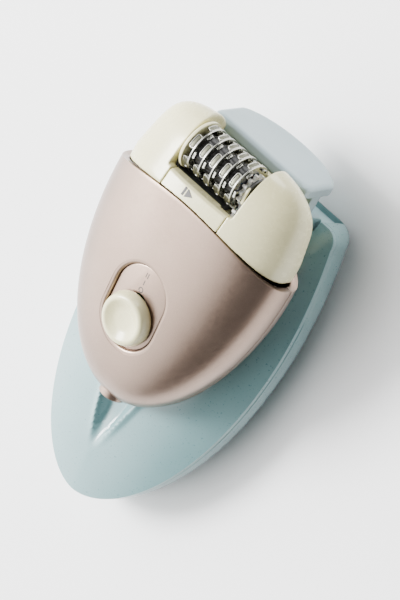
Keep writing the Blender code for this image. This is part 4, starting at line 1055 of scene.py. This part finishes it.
def sleeve_half_width(along, inset=0.0):
    along = along - inset
    if along < SLEEVE_WIDEST:
        t = 1 - along / (SLEEVE_WIDEST - inset)
        return (SLEEVE_HALF_WIDTH - inset) * power_curve(t, 2.1, 0.55)
    t = (along - SLEEVE_WIDEST) / (SLEEVE_LENGTH - SLEEVE_WIDEST)
    return SLEEVE_HALF_WIDTH - inset - (SLEEVE_HALF_WIDTH - SLEEVE_TOP_HALF_WIDTH) * t ** 1.9


def sleeve_outline(draft=0.0, wall=0.0, z=0.0, side_steps=64, corner_steps=12, top_steps=24):
    right = []
    inset = draft + wall
    length = SLEEVE_LENGTH - wall - 0.1 * draft
    for i in range(side_steps + 1):
        share = 1 - math.cos(i / side_steps * math.pi / 2)
        along = inset + (length - CORNER - inset) * share ** 0.9
        right.append((sleeve_half_width(along, inset), along))
    x_end = right[-1][0]
    for i in range(1, corner_steps + 1):
        a = i / corner_steps * math.pi / 2
        right.append((x_end - CORNER * (1 - math.cos(a)), length - CORNER + CORNER * math.sin(a)))
    x_top = right[-1][0]
    for i in range(1, top_steps // 2):
        right.append((x_top * (1 - i / (top_steps / 2)), length))
    left = [(-x, y) for x, y in reversed(right[1:])]
    base = SLEEVE_TOP_Y - SLEEVE_LENGTH
    return [(x, base + y, z) for x, y in right + left]


def handset_underside(x, y_table, grow):
    z = -BODY_REAR_DEPTH - grow
    for _ in range(8):
        y = (y_table - SHOULDER_Y + z * math.sin(PITCH)) / math.cos(PITCH)
        if y <= TIP_Y - grow or abs(x) >= body_half_width(y, grow):
            return None
        share = power_curve(abs(x) / body_half_width(y, grow), SECTION_POWER, 1 / SECTION_POWER)
        z = -body_rear_depth(y, grow) * share
    return HANDSET_LIFT + y * math.sin(PITCH) + z * math.cos(PITCH)


def cover_height(x, y, radial):
    height = RIM_HEIGHT + GAP + SLEEVE_WALL + SLEEVE_CROWN * power_curve(radial, 2.4, 1.0)
    under = handset_underside(x, y, 1.6 * MM)
    if under is not None:
        height = soft_min(height, under, 2.0 * MM)
    tip = SHOULDER_Y + TIP_Y * math.cos(PITCH)
    along = (tip + 3 * MM - y) / (26 * MM)
    if -0.6 < along < 1:
        width = 8.0 * MM * (1 - max(0.0, along)) ** 0.8
        if width > 0:
            groove = smooth(1.6 * (1 - abs(x) / width)) * smooth(1.5 * (1 - along))
            lip = math.exp(-((abs(x) - width) / (1.1 * MM)) ** 2) * smooth(1.5 * (1 - along))
            height += -3.6 * MM * groove + 0.9 * MM * lip
    ridge = math.exp(-(x / (1.6 * MM)) ** 2) * smooth(3 * (along - 0.8)) * smooth(1.6 * (1 - radial))
    return height + 0.4 * MM * ridge


def cover_shape(rows=84):
    """Cover of the sleeve: outer and inner skins drawn in to a middle point, joined along the rim."""
    rim = sleeve_outline()
    count = len(rim)
    centre = (0.0, SLEEVE_TOP_Y - SLEEVE_LENGTH * 0.42)
    bm = bmesh.new()
    skins = []
    for skin in (0, 1):
        grid = []
        for r in range(rows):
            radial = 1 - (r / rows) ** 1.25
            share = radial if skin == 0 else min(radial, 1 - SLEEVE_WALL / SLEEVE_HALF_WIDTH)
            if skin == 1 and r and share == 1 - SLEEVE_WALL / SLEEVE_HALF_WIDTH:
                continue
            line = []
            for x, y, _ in rim:
                px, py = centre[0] + (x - centre[0]) * share, centre[1] + (y - centre[1]) * share
                line.append(bm.verts.new((px, py, cover_height(px, py, radial) - skin * SLEEVE_WALL)))
            grid.append(line)
        if skin == 0:
            grid.insert(0, [bm.verts.new((x, y, RIM_HEIGHT + GAP)) for x, y, _ in rim])
        pole = bm.verts.new((*centre, cover_height(*centre, 0.0) - skin * SLEEVE_WALL))
        for a, b in zip(grid, grid[1:]):
            for k in range(count):
                bm.faces.new((a[k], a[(k + 1) % count], b[(k + 1) % count], b[k]))
        for k in range(count):
            bm.faces.new((grid[-1][k], grid[-1][(k + 1) % count], pole))
        skins.append(grid)
    for k in range(count):
        j = (k + 1) % count
        bm.faces.new((skins[0][0][k], skins[0][0][j], skins[1][0][j], skins[1][0][k]))
    return bm


def mouth_cutter(low, high):
    near, far = SLEEVE_TOP_Y - MOUTH_DEPTH, SLEEVE_TOP_Y + 9 * MM
    return block((-MOUTH_HALF_WIDTH, near, low), (MOUTH_HALF_WIDTH, far, high))


def finish_sleeve():
    cover = new_piece("cooler_cover", cover_shape(), SLEEVE)
    carve(cover, [mouth_cutter(0, 60 * MM)])
    stands_for(cover, "sleeve", "sleeve", "sleeve_front")

    outer = ((13.0, 0.0), (10.0, 0.35), (8.0, 1.0), (5.6, 2.0), (3.6, 3.4), (2.1, 5.1), (1.0, 7.0),
             (0.4, 8.8), (0.1, 10.8), (0.0, 12.8), (0.0, 14.7), (0.3, 15.0))
    rings = [sleeve_outline(inset * MM, z=level * MM) for inset, level in outer]
    inner = [sleeve_outline(inset * MM, SLEEVE_WALL, max(level * MM, SLEEVE_WALL))
             for inset, level in outer[:1:-1]]
    inner[-1] = [(x, y, SLEEVE_WALL) for x, y, _ in inner[-1]]
    hull = new_piece("cooler_hull", loft(rings + inner), SLEEVE)
    carve(hull, [mouth_cutter(SLEEVE_WALL + GAP, 60 * MM)])
    stands_for(hull, "sleeve", "sleeve", "sleeve_back")


def softened_copy(node, name, finish, body, slot, voxel, rounds):
    """Copy of a CAD node with merged points and evenly rounded edges."""
    source = frame["nodes"][node]
    bm = bmesh.new()
    bm.from_mesh(source.data)
    bmesh.ops.remove_doubles(bm, verts=bm.verts, dist=1e-6)
    piece = new_piece(name, bm, finish)
    soften(piece, voxel, rounds)
    stands_for(piece, body, slot, node)
    return piece


# ---- stage, light and camera --------------------------------------------------------------------
def stage():
    bm = bmesh.new()
    bmesh.ops.create_grid(bm, x_segments=2, y_segments=2, size=1.6)
    finish = Finish("pale_floor", 0.6)
    finish.colour(finish.ramp(finish.noise(8, 2), [(0.3, (0.93, 0.93, 0.93)), (0.7, (0.95, 0.95, 0.95))]))
    floor = new_piece("floor", bm, finish.material)
    if floor.data.polygons[0].normal.z < 0:
        floor.data.flip_normals()
    floor.data.transform(Matrix.Translation((0, 0, -0.0005)))


def handset_direction(x, y, z):
    return (TURN @ Vector((x, y, z))).normalized()


ELEVATION, AZIMUTH, ROLL = math.radians(24.8), math.radians(27.4), math.radians(29.9)
DISTANCE = 1.8
VIEW_HEIGHT = 183.20610687 * MM   # height of what the camera sees at its aim
AIM_RIGHT, AIM_UP = 4.12 * MM, -28.49 * MM


def camera_axes():
    ce, se, ca, sa = math.cos(ELEVATION), math.sin(ELEVATION), math.cos(AZIMUTH), math.sin(AZIMUTH)
    right, up = handset_direction(ca, 0, -sa), handset_direction(-se * sa, ce, -se * ca)
    toward = handset_direction(ce * sa, se, ce * ca)
    cr, sr = math.cos(ROLL), math.sin(ROLL)
    return cr * right + sr * up, -sr * right + cr * up, toward


def place_camera():
    right, up, toward = camera_axes()
    target = HANDSET @ Vector((0, 0, BODY_FRONT_DEPTH)) + right * AIM_RIGHT + up * AIM_UP
    camera = bpy.data.cameras.new("camera")
    camera.sensor_fit = 'VERTICAL'
    camera.sensor_height = 24
    camera.lens = camera.sensor_height * DISTANCE / VIEW_HEIGHT
    camera.clip_end = 20
    item = bpy.data.objects.new("camera", camera)
    rotation = Matrix((right, up, toward)).transposed().to_4x4()
    item.matrix_world = Matrix.Translation(target + toward * DISTANCE) @ rotation
    bpy.context.scene.collection.objects.link(item)
    bpy.context.scene.camera = item


def area_light(name, offset, size, power, aim=(0, 0, 0.03), tint=(1, 1, 1)):
    """Soft disk light, placed along the camera's right, up and toward directions from its aim."""
    right, up, toward = camera_axes()
    spot = Vector(aim) + right * offset[0] + up * offset[1] + toward * offset[2]
    light = bpy.data.lights.new(name, 'AREA')
    light.shape = 'DISK'
    light.size = size
    light.energy = power
    light.color = tint
    item = bpy.data.objects.new(name, light)
    turn = (spot - Vector(aim)).to_track_quat('Z', 'Y').to_matrix().to_4x4()
    item.matrix_world = Matrix.Translation(spot) @ turn
    bpy.context.scene.collection.objects.link(item)


def light_scene():
    area_light("key", (-1.25, 0.45, 0.45), 0.6, 52)
    area_light("edge", (0.5, 1.1, 0.5), 0.5, 9.0)
    right, up, toward = camera_axes()
    bright_side = (-0.95 * right + 0.30 * up - 0.05 * toward).normalized()
    world = bpy.data.worlds.new("studio")
    bpy.context.scene.world = world
    world.use_nodes = True
    tree = world.node_tree
    coordinates = tree.nodes.new("ShaderNodeTexCoord")
    side = tree.nodes.new("ShaderNodeVectorMath")
    side.operation = 'DOT_PRODUCT'
    side.inputs[1].default_value = bright_side
    tree.links.new(coordinates.outputs["Generated"], side.inputs[0])
    spread = tree.nodes.new("ShaderNodeMapRange")
    for name, value in (("From Min", 0.30), ("From Max", 0.97), ("To Min", 0.16), ("To Max", 7.5)):
        spread.inputs[name].default_value = value
    tree.links.new(side.outputs["Value"], spread.inputs["Value"])
    tree.links.new(spread.outputs["Result"], tree.nodes["Background"].inputs["Strength"])
    tree.nodes["Background"].inputs["Color"].default_value = (1.0, 1.0, 1.0, 1.0)


# ---- putting it together ------------------------------------------------------------------------
finish_cad_nodes()
place_camera()
finish_shells()
finish_head()
finish_cartridge()
release_arrow()
finish_drum()
finish_switch()
finish_screws()
finish_socket()
finish_sleeve()
softened_copy("ice_pack", "gel_pack", GEL, "ice_pack", "gel", 0.35 * MM, 4)
softened_copy("cooling_head", "cooling_plate", COOLER, "cooling_head", "cooler", 0.30 * MM, 5)
stage()
light_scene()
